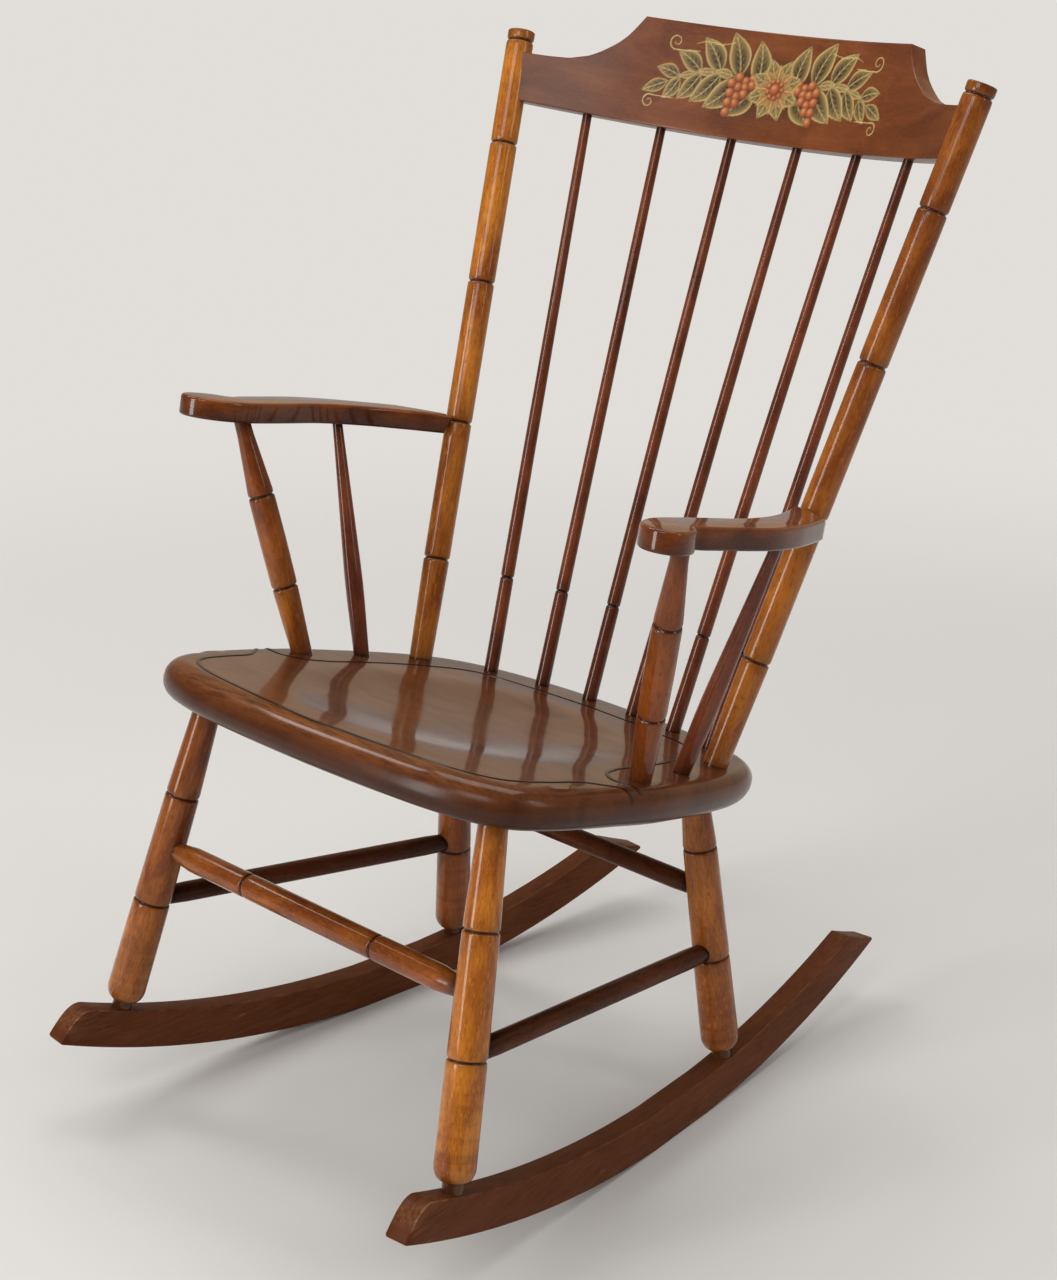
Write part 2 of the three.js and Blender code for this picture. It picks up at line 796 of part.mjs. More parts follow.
// A pin from the back of each post through the crest rail's tenon
function makeCrestPin(side) {
  const middle = crestLower(crestRun) + crestEndTall / 2;
  const axis = crestPost.clone();
  axis.z += middle;
  const atAxis = onPost(side, axis.z);
  const back = vector(atAxis.x, atAxis.y + postDiameter / 2, atAxis.z);
  const inwards = vector(atAxis.x, back.y - crestPinLength, atAxis.z);
  const profile = [
    [-clearance, crestPinDiameter / 2],
    [crestPinLength, crestPinDiameter / 2],
  ];
  return turn(
    `crest_pin_${side.name}`,
    "dark",
    profile,
    back.applyMatrix4(seatFrame),
    inwards.applyMatrix4(seatFrame),
    thinSides,
  );
}

// The back's spindles
function makeSpindle(index) {
  const place = index - (spindleCount - 1) / 2;
  const angle = Math.asin((place * spindleBaseGap) / spindleArcRadius);
  const dropBack = spindleArcRadius * (1 - Math.cos(angle));
  const base = onFloor(place * spindleBaseGap, spindleRowBehind - dropBack, 0);
  const along = place * spindleTopGap;
  const top = onCrest(along, crestLower(along), crestThickness / 2).applyMatrix4(crestFrame);
  const length = base.distanceTo(top);
  const plain = [
    [-spindleTenonDepth, spindleBaseDiameter / 2 - clearance],
    [0, spindleBaseDiameter / 2],
    [length, spindleTopDiameter / 2],
    [length + spindleCrestDepth, spindleTopDiameter / 2 - clearance],
  ];
  const profile = withGrooves(plain, [spindleGrooveShare * length], spindleGrooveDepth);
  return turn(`back_spindle_${index + 1}`, "red", profile, base, top, thinSides);
}

// The arms, in a frame on the post's axis at the arm's top face
function armFrame(side) {
  const joint = onPost(side, armTop);
  const own = new THREE.Matrix4()
    .makeRotationX(THREE.MathUtils.degToRad(armRise))
    .setPosition(joint);
  return seatFrame.clone().multiply(own);
}

function armGeometry() {
  const points = armOutlineShares.map(([out, ahead]) => vector(out * armSpread, -ahead * armReach, 0));
  const curve = new THREE.CatmullRomCurve3(points, false, "centripetal");
  const outline = curve.getSpacedPoints(armOutlinePoints);
  const rear = new THREE.Line3(points[0], points[points.length - 1]);
  const roundings = outline.map((p) => {
    const away = p.distanceTo(rear.closestPointToPoint(p, true, vector(0, 0, 0)));
    return armCornerRounding + (armEdgeRounding - armCornerRounding) * smoothstep(away, 0, armThickness);
  });
  return skin(plankRings(outline, armThickness, roundings, roundings));
}

function makeArm(side) {
  const geometry = sidedGeometry(armGeometry(), side);
  return makePiece(`arm_${side.name}`, "red", geometry, armFrame(side));
}

// A point under the arm's top face, in floor measure
function underArm(side, out, ahead, depth) {
  return vector(side.sign * out, -ahead, -depth).applyMatrix4(armFrame(side));
}

function makeArmPost(side) {
  const base = onFloor((side.sign * armPostBaseSpread) / 2, -armPostBaseAhead, 0);
  const top = underArm(side, armPostOut, armPostReach, armThickness);
  const length = base.distanceTo(top);
  const [lower, upper] = armPostGrooveShares.map((share) => share * length);
  const plain = [
    [-spindleTenonDepth, armPostBaseDiameter / 2 - clearance],
    [0, armPostBaseDiameter / 2],
    [lower, armPostLowerDiameter / 2],
    [upper, armPostUpperDiameter / 2],
    [length, armPostTopDiameter / 2],
    [length + armTenonDepth, armPostTopDiameter / 2 - clearance],
  ];
  const profile = withGrooves(plain, [lower, upper], grooveDepth);
  return turn(`arm_post_${side.name}`, "amber", profile, base, top, middlingSides);
}

function makeArmSpindle(side) {
  const base = onFloor((side.sign * armSpindleBaseSpread) / 2, -armSpindleBaseAhead, 0);
  const top = underArm(side, armSpindleOut, armSpindleReach, armThickness);
  const length = base.distanceTo(top);
  const profile = [
    [-spindleTenonDepth, armSpindleBaseDiameter / 2 - clearance],
    [0, armSpindleBaseDiameter / 2],
    [armSpindleSwellShare * length, armSpindleSwellDiameter / 2],
    [length, armSpindleTopDiameter / 2],
    [length + armTenonDepth, armSpindleTopDiameter / 2 - clearance],
  ];
  return turn(`arm_spindle_${side.name}`, "red", profile, base, top, thinSides);
}

// A hidden dowel that runs forward from the post into the arm, through the middle of its thickness
function makeArmDowel(side) {
  const start = underArm(side, 0, -armDowelInPost, armThickness / 2);
  const end = underArm(side, 0, armDowelLength - armDowelInPost, armThickness / 2);
  const profile = [
    [0, armDowelDiameter / 2],
    [armDowelLength, armDowelDiameter / 2],
  ];
  return turn(`arm_dowel_${side.name}`, "amber", profile, start, end, thinSides);
}

// A countersunk screw up through the rocker into the leg's tenon
function makeScrew(side, kind) {
  const { foot, top } = legEnds(side, kind);
  const headTop = -screwHeadBelow;
  const head = screwHeadDiameter / 2;
  const shank = screwShankDiameter / 2;
  const profile = [
    [headTop - screwHeadHeight, head],
    [headTop, shank],
    [screwShankReach, shank],
  ];
  const piece = turn(`rocker_screw_${kind}_${side.name}`, "steel", profile, foot, top, thinSides);
  const hole = [
    [headTop - screwHeadHeight - screwRecessLength, head],
    [headTop - screwHeadHeight, head],
    [headTop, shank],
    [screwShankReach, shank],
  ];
  piece.cutter.geometry = lathed(hole, thinSides, clearance);
  return piece;
}

// Assembly: every piece is made whole, and then its neighbours' sockets are cut
const seat = makeSeat();
const rockers = sides.map(makeRocker);
const posts = sides.map(makePost);
const frontLegs = sides.map((side) => makeLeg(side, "front"));
const backLegs = sides.map((side) => makeLeg(side, "back"));
const screws = ["front", "back"].map((kind) => sides.map((side) => makeScrew(side, kind)));
const crest = makeCrest(posts);
const crestPins = sides.map(makeCrestPin);
const spindles = Array.from({ length: spindleCount }, (_, index) => makeSpindle(index));
const arms = sides.map(makeArm);
const armPosts = sides.map(makeArmPost);
const armSpindles = sides.map(makeArmSpindle);
const armDowels = sides.map(makeArmDowel);
const [left, right] = sides;
const frontStretcher = makeStretcher(
  "front_stretcher",
  "amber",
  frontStretcherDiameter,
  onLeg(right, "front", frontStretcherLegShare),
  onLeg(left, "front", frontStretcherLegShare),
  frontStretcherGrooveShares,
);
const backStretcher = makeStretcher(
  "back_stretcher",
  "dark",
  sideStretcherDiameter,
  onLeg(right, "back", backStretcherLegShare),
  onLeg(left, "back", backStretcherLegShare),
  [],
);
const sideStretchers = sides.map((side) =>
  makeStretcher(
    `side_stretcher_${side.name}`,
    "dark",
    sideStretcherDiameter,
    onLeg(side, "front", sideStretcherFrontShare),
    onLeg(side, "back", sideStretcherBackShare),
    [],
  ),
);

const cuttersOf = (pieces) => pieces.map((piece) => piece.cutter);
const standing = [...frontLegs, ...backLegs, ...posts, ...spindles, ...armPosts, ...armSpindles];
carve(seat, cuttersOf(standing));
carve(crest, cuttersOf([...spindles, ...crestPins]));
sides.forEach((side, i) => {
  carve(rockers[i], cuttersOf([frontLegs[i], backLegs[i], screws[0][i], screws[1][i]]));
  carve(frontLegs[i], cuttersOf([frontStretcher, sideStretchers[i], screws[0][i]]));
  carve(backLegs[i], cuttersOf([backStretcher, sideStretchers[i], screws[1][i]]));
  carve(posts[i], [crestTenon(side, clearance), crestPins[i].cutter, armDowels[i].cutter]);
  carve(arms[i], cuttersOf([posts[i], armPosts[i], armSpindles[i], armDowels[i]]));
});

const everything = [
  seat,
  ...rockers,
  ...frontLegs,
  ...backLegs,
  frontStretcher,
  backStretcher,
  ...sideStretchers,
  ...posts,
  crest,
  ...crestPins,
  ...spindles,
  ...arms,
  ...armPosts,
  ...armSpindles,
  ...armDowels,
  ...screws.flat(),
];

const chair = new THREE.Group();
for (const piece of everything) {
  const mesh = new THREE.Mesh(piece.geometry, materialOf(piece.finish));
  mesh.name = piece.name;
  piece.matrix.decompose(mesh.position, mesh.quaternion, mesh.scale);
  chair.add(mesh);
}

// The origin is under the middle of the chair's box, on the floor.
const box = new THREE.Box3().setFromObject(chair, true);
const centre = box.getCenter(vector(0, 0, 0));
chair.position.set(-centre.x, -centre.y, -box.min.z);
const part = new THREE.Group();
part.add(chair);

export default part;
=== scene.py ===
# %% [markdown]
# # A rocking chair with bamboo-style turnings
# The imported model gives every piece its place. This lesson gives each one its finished shape and its
# lacquer: turned legs, posts and spindles, a saddled plank seat with a painted line, flat arms, a bent
# crest rail with a painted spray, and sawn rockers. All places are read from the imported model, so
# nothing has to be fitted afterwards.

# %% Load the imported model
import json
import math

import bmesh
import bpy
import numpy as np
from mathutils import Matrix, Vector
from mathutils.bvhtree import BVHTree


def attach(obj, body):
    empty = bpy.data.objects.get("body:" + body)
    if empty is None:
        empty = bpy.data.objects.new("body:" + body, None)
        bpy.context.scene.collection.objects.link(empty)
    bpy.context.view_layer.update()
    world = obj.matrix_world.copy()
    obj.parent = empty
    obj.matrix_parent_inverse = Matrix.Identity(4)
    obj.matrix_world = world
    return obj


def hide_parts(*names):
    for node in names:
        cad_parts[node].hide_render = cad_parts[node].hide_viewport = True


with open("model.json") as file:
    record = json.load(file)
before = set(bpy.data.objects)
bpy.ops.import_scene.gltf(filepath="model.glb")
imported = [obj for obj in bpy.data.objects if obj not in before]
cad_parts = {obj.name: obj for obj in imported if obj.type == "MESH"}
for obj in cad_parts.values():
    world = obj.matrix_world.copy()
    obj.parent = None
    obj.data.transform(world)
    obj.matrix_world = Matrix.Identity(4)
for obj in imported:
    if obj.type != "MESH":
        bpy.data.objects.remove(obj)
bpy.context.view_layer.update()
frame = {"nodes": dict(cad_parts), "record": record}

MM = 0.001
SIDES = ("left", "right")
mounts = {mount["name"]: mount for mount in frame["record"]["mounts"]}

# %% [markdown]
# ## The seat's own frame
# The chair leans back on its rockers, so the seat isn't level. Heights and distances on the seat, the
# back and the arms are easier to give square to the seat. Its frame starts on the seat's top, and its
# slope is read from the flat face on the seat's underside.

# %% Find the seat's frame
under_face = mounts["seat_underside"]
REST_TILT = -math.atan2(-under_face["axis"][1], -under_face["axis"][2])
SEAT_HEIGHT = 363 * MM
CONTACT_AHEAD = 63 * MM  # the rockers' point of contact, ahead of the seat's origin
contact = Vector(mounts["rocker_rest_left"]["pos_m"])
seat_origin = Vector((0, contact.y + CONTACT_AHEAD, SEAT_HEIGHT))
seat_frame = Matrix.Translation(seat_origin) @ Matrix.Rotation(REST_TILT, 4, "X")
print("the seat leans back", round(-math.degrees(REST_TILT), 2), "degrees")


def in_frame(matrix, points):
    """Rows of points, moved by a 4x4 matrix."""
    m = np.array(matrix)
    return np.asarray(points) @ m[:3, :3].T + m[:3, 3]


def node_points(node):
    """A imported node's corners, each once."""
    mesh = frame["nodes"][node].data
    return np.unique(np.round([v.co for v in mesh.vertices], 6), axis=0)


# %% [markdown]
# ## Camera
# The camera stands where the photograph was taken from. Its place and lens were solved from the
# floor's tiles and the chair's own symmetry. It comes first, so that each piece can be checked as soon
# as it is made.

# %% Set the camera
PHOTO_WIDTH, PHOTO_HEIGHT = 1057, 1280
FOCAL_PIXELS = 2431.2
PRINCIPAL_X, PRINCIPAL_Y = 516.0, 640.0
CAMERA_OFFSET = Vector((1501.9, -1639.0, 1263.5)) * MM  # from the floor under the seat's origin
YAW, PITCH, ROLL = (math.radians(a) for a in (43.908, 20.44, 0.2386))

camera_data = bpy.data.cameras.new("camera")
camera_data.sensor_fit = "VERTICAL"
camera_data.sensor_height = 36
camera_data.lens = FOCAL_PIXELS * camera_data.sensor_height / PHOTO_HEIGHT
camera_data.shift_x = (PHOTO_WIDTH / 2 - PRINCIPAL_X) / PHOTO_HEIGHT
camera_data.shift_y = (PRINCIPAL_Y - PHOTO_HEIGHT / 2) / PHOTO_HEIGHT
camera = bpy.data.objects.new("camera", camera_data)
bpy.context.scene.collection.objects.link(camera)

level_right = Vector((math.cos(YAW), math.sin(YAW), 0))
forward = Vector((-math.sin(YAW) * math.cos(PITCH), math.cos(YAW) * math.cos(PITCH), -math.sin(PITCH)))
level_up = level_right.cross(forward)
right = math.cos(ROLL) * level_right + math.sin(ROLL) * level_up
up = math.cos(ROLL) * level_up - math.sin(ROLL) * level_right
turned = Matrix((right, up, -forward)).transposed().to_4x4()
camera.matrix_world = Matrix.Translation(CAMERA_OFFSET + Vector((0, seat_origin.y, 0))) @ turned
bpy.context.scene.camera = camera
print("lens", round(camera_data.lens, 2), "mm")

# %% [markdown]
# ## Background
# A studio's backdrop is pale and even. One light value for everything would wash out the dark lacquer,
# so the world has three: pale for what the camera sees, dimmer as a source of light, and warm, with a
# dark front, for what the lacquer mirrors.

# %% Make the background
def new_tree(data):
    data.use_nodes = True
    data.node_tree.nodes.clear()
    return data.node_tree


def node(tree, kind, inputs=None, **settings):
    """Adds a shader node. Its inputs are given as values or as other nodes' outputs."""
    made = tree.nodes.new("ShaderNode" + kind)
    for key, value in settings.items():
        setattr(made, key, value)
    for socket, value in (inputs or {}).items():
        if isinstance(value, bpy.types.NodeSocket):
            tree.links.new(value, made.inputs[socket])
        else:
            made.inputs[socket].default_value = value
    return made


BACKGROUND_COLOUR = (0.755, 0.73, 0.695, 1)
MIRRORED_COLOUR = (0.80, 0.60, 0.42, 1)
LIGHT_COLOUR = (1.0, 0.985, 0.96, 1)
LIGHT_STRENGTH = 0.5
MIRRORED_STRENGTH = {"From Min": -0.2, "From Max": 0.7, "To Min": 0.08, "To Max": 0.60}  # front to back

world = bpy.data.worlds.new("studio")
bpy.context.scene.world = world
tree = new_tree(world)
path = node(tree, "LightPath")
direction = node(tree, "TexCoord")
height = node(tree, "SeparateXYZ", {"Vector": direction.outputs["Generated"]})
behind = node(tree, "MapRange", {"Value": height.outputs["Y"], **MIRRORED_STRENGTH})
seen = node(tree, "Background", {"Color": BACKGROUND_COLOUR, "Strength": 1.0})
mirrored = node(tree, "Background", {"Color": MIRRORED_COLOUR, "Strength": behind.outputs["Result"]})
lighting = node(tree, "Background", {"Color": LIGHT_COLOUR, "Strength": LIGHT_STRENGTH})
glossy = node(tree, "MixShader", {0: path.outputs["Is Glossy Ray"], 1: lighting.outputs[0],
                                  2: mirrored.outputs[0]})
straight = node(tree, "Math", {0: path.outputs["Is Camera Ray"], 1: path.outputs["Is Transmission Ray"]},
                operation="MAXIMUM")
mixed = node(tree, "MixShader", {0: straight.outputs[0], 1: glossy.outputs[0], 2: seen.outputs[0]})
node(tree, "OutputWorld", {"Surface": mixed.outputs[0]})
print("background made")

# %% [markdown]
# ## Floor
# A plain pale floor takes the chair's soft shadow. Its far edge would show as a line, so it turns
# transparent for the camera on the way out, and the background takes over.

# %% Lay the floor
FLOOR_COLOUR, FLOOR_PALE = (0.65, 0.64, 0.625, 1), (0.69, 0.68, 0.665, 1)
FLOOR_RADIUS = 30
FLOOR_SHOWN, FLOOR_GONE = 0.7, 2.6  # the floor fades into the background between these distances


def start_fresh():
    """Leaves object mode ready for a new primitive, with nothing selected."""
    if bpy.context.object and bpy.context.object.mode != "OBJECT":
        bpy.ops.object.mode_set(mode="OBJECT")
    bpy.ops.object.select_all(action="DESELECT")


start_fresh()
bpy.ops.mesh.primitive_circle_add(vertices=64, radius=FLOOR_RADIUS, fill_type="NGON")
floor = bpy.context.object
floor.name = "floor"
floor_material = bpy.data.materials.new("floor_paint")
tree = new_tree(floor_material)
spot_on_floor = node(tree, "TexCoord").outputs["Object"]
clouds = node(tree, "TexNoise", {"Vector": spot_on_floor, "Scale": 1.3, "Detail": 3.0})
tint = node(tree, "Mix", {0: clouds.outputs["Fac"], 6: FLOOR_COLOUR, 7: FLOOR_PALE}, data_type="RGBA")
surface = node(tree, "BsdfPrincipled", {"Base Color": tint.outputs[2], "Roughness": 0.7})
path = node(tree, "LightPath")
away = node(tree, "VectorMath", {0: spot_on_floor}, operation="LENGTH")
fade = node(tree, "MapRange", {"Value": away.outputs["Value"], "From Min": FLOOR_SHOWN,
                               "From Max": FLOOR_GONE}, interpolation_type="SMOOTHERSTEP")
unseen = node(tree, "Math", {0: fade.outputs["Result"], 1: path.outputs["Is Camera Ray"]},
              operation="MULTIPLY")
through = node(tree, "BsdfTransparent")
faded = node(tree, "MixShader", {0: unseen.outputs[0], 1: surface.outputs[0], 2: through.outputs[0]})
node(tree, "OutputMaterial", {"Surface": faded.outputs[0]})
floor.data.materials.append(floor_material)
print("floor laid")

# %% [markdown]
# ## Lights
# Lacquer shows its lamps. A picture of a studio could light the chair too, but lamps set one by one
# put each highlight where the photograph has it: the tall one, in front, draws the long bright lines
# down the turnings, and the others only lift the shadows.

# %% Hang the lamps
LAMPS = {  # each one's place, the point that it faces, its size and its power
    "tall_lamp": ((-1.14, -3.9, 1.6), (0, 0, 0.6), (1.05, 2.5), 82),
    "key_lamp": ((0.7, -2.8, 2.9), (0, 0, 0.5), (1.6, 1.1), 28),
    "side_lamp": ((-2.3, -0.3, 3.4), (0, 0, 0.5), (0.8, 1.4), 24),
    "right_lamp": ((3.1, 0.9, 2.2), (0, 0, 0.5), (0.6, 1.6), 14),
    "ceiling_lamp": ((-0.3, 0.7, 3.4), (0, 0, 0.4), (2.4, 1.4), 30)}

for name, (place, aim, size, power) in LAMPS.items():
    data = bpy.data.lights.new(name, "AREA")
    data.shape = "RECTANGLE"
    data.size, data.size_y = size
    data.energy = power
    data.color = LIGHT_COLOUR[:3]
    lamp = bpy.data.objects.new(name, data)
    lamp.rotation_euler = (Vector(aim) - Vector(place)).to_track_quat("-Z", "Y").to_euler()
    lamp.location = place
    bpy.context.scene.collection.objects.link(lamp)
print("lamps:", list(LAMPS))

# %% [markdown]
# ## Lacquered wood
# The chair is stained wood under clear gloss lacquer. The stain takes unevenly: amber where it was
# rubbed thin, brown where it gathered near grooves, with fine fibres and small dark pores along
# the grain. One brown would do from far off, but it makes wood look cast. Here noise at several sizes
# mixes three colours, and attributes on the pieces steer it: "grain" holds each point's place in its
# own wood, with z along the grain, and "shade" darkens the colour towards the darkest one: for black
# grooves and thicker stain, and as painted shade where pieces meet and on their shaded sides. Some
# pieces also have "tone", "ringed", "wear", "bare" and "paint". They follow the piece, so no two sticks are
# alike.

# %% Make the wood finishes
# noise in the wood: changes per metre across and along the grain, detail, roughness and distortion
BLOTCHES, MOTTLE = (34, 12, 4.0, 0.55, 0.7), (150, 55, 4.0, 0.7, 1.2)
FIBRES, RINGS, WAVES = (430, 10, 3.0), (6, 120, 3.0), (17, 12, 1.0, 0.4)
DARK_FLECKS, PALE_FLECKS = (760, 130, 2.0, 0.7), (560, 150, 1.0)
WORN_PATCHES, SCRATCHES, SCRATCHED_AREAS = (260, 30, 5.0, 0.7), (420, 26, 1.0, 0.5, 0.4), (16, 9, 2.0)
BLOTCH_EDGE = 0.14
ROUGHNESS_EITHER_WAY = 0.07
FIBRE_STRENGTH, FIBRE_HEIGHT = 0.10, 0.0004
COAT_IOR = 1.36
BARE_COAT_ROUGHNESS = 0.7


def attribute(tree, name):
    return node(tree, "Attribute", attribute_name=name)


def wood(name, thin, thick, pooled_and_shade, ruddy=None, roughness=0.34, coat=0.9, coat_roughness=0.06, flecks=0.5,
         contrast=1.0, specular=0.08, ripple=0.0, worn=None, scratched=0.0, painted=False,
         turned=False, part_bare=False):
    """Stained wood: thin and thick are the stain's two colours, and the third is its darkest, which the
    "shade" attribute also uses for painted shade. Where ruddy is given, the pieces' "tone" attribute
    leads from those two colours to the two in ruddy."""
    material = bpy.data.materials.new(name)
    tree = new_tree(material)
    grain = attribute(tree, "grain").outputs["Vector"]

    def cloud(across, along, detail, roughness=0.6, distortion=0.0):
        scaled = node(tree, "Mapping", {"Vector": grain, "Scale": (across, across, along)})
        noise = node(tree, "TexNoise", {"Vector": scaled.outputs[0], "Scale": 1.0, "Detail": detail,
                                        "Roughness": roughness, "Distortion": distortion})
        return noise.outputs["Fac"]

    def spread(value, low, high, to_low=0.0, to_high=1.0):
        return node(tree, "MapRange", {"Value": value, "From Min": low, "From Max": high,
                                       "To Min": to_low, "To Max": to_high}).outputs["Result"]

    def mix(share, first, second):
        first, second = (c + (1,) if isinstance(c, tuple) else c for c in (first, second))
        return node(tree, "Mix", {0: share, 6: first, 7: second}, data_type="RGBA").outputs[2]

    def combine(a, b, operation="MULTIPLY"):
        return node(tree, "Math", {0: a, 1: b}, operation=operation).outputs[0]

    def factor(name):
        return attribute(tree, name).outputs["Fac"]

    if ruddy:
        tone = factor("tone")
        thin, thick = mix(tone, thin, ruddy[0]), mix(tone, thick, ruddy[1])
    blotches = cloud(*BLOTCHES)
    colour = mix(spread(blotches, 0.5 - BLOTCH_EDGE / contrast, 0.5 + BLOTCH_EDGE / contrast), thin, thick)
    if turned:
        mottle = cloud(*MOTTLE)
        colour = mix(spread(mottle, 0.50, 0.68, 0.0, 0.55), colour, thick)
        colour = mix(spread(mottle, 0.60, 0.78, 0.0, 0.45), colour, pooled_and_shade)
    fibres = cloud(*FIBRES)
    colour = mix(spread(fibres, 0.45, 0.75, 0.0, 0.45), colour, thick)
    colour = mix(spread(cloud(*DARK_FLECKS), 0.53, 0.68, 0.0, flecks), colour, pooled_and_shade)
    colour = mix(spread(cloud(*PALE_FLECKS), 0.58, 0.70, 0.0, 0.45), colour, thin)
    if turned:
        rings = spread(cloud(*RINGS), 0.46, 0.68, 0.0, 0.34)
        colour = mix(combine(rings, factor("ringed")), colour, pooled_and_shade)
    # painted shade, black grooves and thicker stain: the "shade" attribute darkens towards the darkest colour
    colour = mix(factor("shade"), colour, pooled_and_shade)
    if worn:
        patches = spread(cloud(*WORN_PATCHES), 0.38, 0.62)
        colour = mix(combine(patches, factor("wear")), colour, worn)
    if scratched:
        scratches = combine(spread(cloud(*SCRATCHES), 0.76, 0.79),
                            spread(cloud(*SCRATCHED_AREAS), 0.5, 0.62))
        colour = mix(combine(scratches, scratched), colour, worn)
    if painted:
        paint = attribute(tree, "paint")
        colour = mix(paint.outputs["Alpha"], colour, paint.outputs["Color"])
    bump = node(tree, "Bump", {"Height": fibres, "Strength": FIBRE_STRENGTH, "Distance": FIBRE_HEIGHT})
    rough = spread(blotches, 0.0, 1.0, roughness - ROUGHNESS_EITHER_WAY, roughness + ROUGHNESS_EITHER_WAY)
    coating = {"Coat Weight": coat, "Coat Roughness": coat_roughness, "Coat IOR": COAT_IOR}
    if ripple:
        waves = node(tree, "Bump", {"Height": cloud(*WAVES), "Strength": 1.0, "Distance": ripple})
        coating["Coat Normal"] = waves.outputs[0]
    if part_bare:
        bare = factor("bare")
        coating["Coat Weight"] = spread(bare, 0.0, 1.0, coat, 0.0)
        coating["Coat Roughness"] = spread(bare, 0.0, 1.0, coat_roughness, BARE_COAT_ROUGHNESS)
        rough = combine(rough, bare, "MAXIMUM")
    surface = node(tree, "BsdfPrincipled", {"Base Color": colour, "Roughness": rough, **coating,
                                            "Specular IOR Level": specular, "Normal": bump.outputs[0]})
    node(tree, "OutputMaterial", {"Surface": surface.outputs[0]})
    return material


AMBER = wood("amber_lacquer", (0.62, 0.220, 0.024), (0.28, 0.074, 0.010), (0.040, 0.011, 0.004),
             ruddy=((0.240, 0.060, 0.011), (0.115, 0.025, 0.005)), coat_roughness=0.10, flecks=0.4,
             contrast=1.1, turned=True)
RED = wood("red_lacquer", (0.200, 0.050, 0.017), (0.085, 0.019, 0.008), (0.012, 0.004, 0.002),
           coat_roughness=0.10, flecks=0.4)
ARM = wood("arm_lacquer", (0.200, 0.052, 0.010), (0.090, 0.020, 0.005), (0.010, 0.003, 0.002),
           flecks=0.3, coat=1.0, part_bare=True)
DARK = wood("dark_lacquer", (0.095, 0.026, 0.010), (0.040, 0.011, 0.005), (0.004, 0.002, 0.001),
            coat=0.35, specular=0.02)
SEAT = wood("seat_lacquer", (0.118, 0.034, 0.010), (0.070, 0.019, 0.006), (0.012, 0.004, 0.003),
            flecks=0.2, coat=0.75, roughness=0.3, ripple=0.0008, worn=(0.25, 0.085, 0.019),
            part_bare=True)
CREST = wood("crest_lacquer", (0.205, 0.058, 0.015), (0.120, 0.031, 0.009), (0.014, 0.005, 0.003),
             flecks=0.25, coat=0.8, coat_roughness=0.28, roughness=0.42, painted=True)
ROCKER = wood("rocker_finish", (0.120, 0.034, 0.011), (0.092, 0.025, 0.008), (0.020, 0.007, 0.004),
              flecks=0.25, roughness=0.5, coat=0.12, coat_roughness=0.3, specular=0.03,
              worn=(0.42, 0.22, 0.11), scratched=0.6)
print("wood finishes:", [m.name for m in (AMBER, RED, ARM, DARK, SEAT, CREST, ROCKER)])

# %% [markdown]
# ## Paint and steel
# The black line on the seat and the screws' heads are small, so one colour with a faint cloud in it is
# enough for each.

# %% Make the plain finishes
CLOUD_SCALE = 900.0
CLOUD_DARKENING = 0.7


def plain(name, colour, roughness, metallic=0.0, coat=0.0):
    material = bpy.data.materials.new(name)
    tree = new_tree(material)
    place = node(tree, "TexCoord")
    noise = node(tree, "TexNoise", {"Vector": place.outputs["Object"], "Scale": CLOUD_SCALE, "Detail": 3.0})
    darker = tuple(c * CLOUD_DARKENING for c in colour)
    tint = node(tree, "Mix", {0: noise.outputs["Fac"], 6: colour + (1,), 7: darker + (1,)}, data_type="RGBA")
    surface = node(tree, "BsdfPrincipled", {"Base Color": tint.outputs[2], "Roughness": roughness,
                                            "Metallic": metallic, "Coat Weight": coat})
    node(tree, "OutputMaterial", {"Surface": surface.outputs[0]})
    return material


LINE_PAINT = plain("line_paint", (0.006, 0.005, 0.005), 0.35, coat=0.3)
STEEL = plain("screw_steel", (0.42, 0.41, 0.39), 0.38, metallic=1.0)
print("plain finishes:", LINE_PAINT.name, STEEL.name)

# %% [markdown]
# ## Helpers for all pieces
# Every finished piece needs the same few steps: faces turned outwards, modifiers applied, its mesh
# moved into place with the object left at the origin, attributes for the stain and the painted shade,
# and the imported piece that it replaces hidden.

# %% Define the helpers
def faces_out():
    """Turns the active piece's faces outwards, and ends in object mode."""
    bpy.ops.object.mode_set(mode="EDIT")
    bpy.ops.mesh.select_all(action="SELECT")
    bpy.ops.mesh.normals_make_consistent(inside=False)
    bpy.ops.object.mode_set(mode="OBJECT")


def apply_modifier(piece, kind, **settings):
    modifier = piece.modifiers.new(kind.lower(), kind)
    for key, value in settings.items():
        setattr(modifier, key, value)
    bpy.ops.object.modifier_apply(modifier=modifier.name)


def duplicate(piece, name):
    """A copy with a mesh of its own."""
    copy = piece.copy()
    copy.data = piece.data.copy()
    copy.name = name
    bpy.context.scene.collection.objects.link(copy)
    return copy


def settle(piece, matrix):
    """Moves a finished piece's mesh into place, with its object left at the origin."""
    start_fresh()
    piece.select_set(True)
    bpy.context.view_layer.objects.active = piece
    piece.matrix_world = matrix
    bpy.ops.object.transform_apply(location=True, rotation=True, scale=True)


def settle_pair(piece, other_name, matrix):
    """Moves a left piece into place, and a mirrored copy of it to the right."""
    other = duplicate(piece, other_name)
    settle(piece, matrix)
    settle(other, Matrix.Scale(-1, 4, (1, 0, 0)) @ matrix)
    faces_out()
    return other


def set_attribute(piece, name, values, kind="FLOAT", key="value"):
    data = piece.data
    layer = data.attributes.get(name) or data.attributes.new(name, kind, "POINT")
    layer.data.foreach_set(key, np.ascontiguousarray(values, np.float32).ravel())


def mesh_points(piece):
    points = np.empty(len(piece.data.vertices) * 3, np.float32)
    piece.data.vertices.foreach_get("co", points)
    return points.reshape(-1, 3).astype(float)


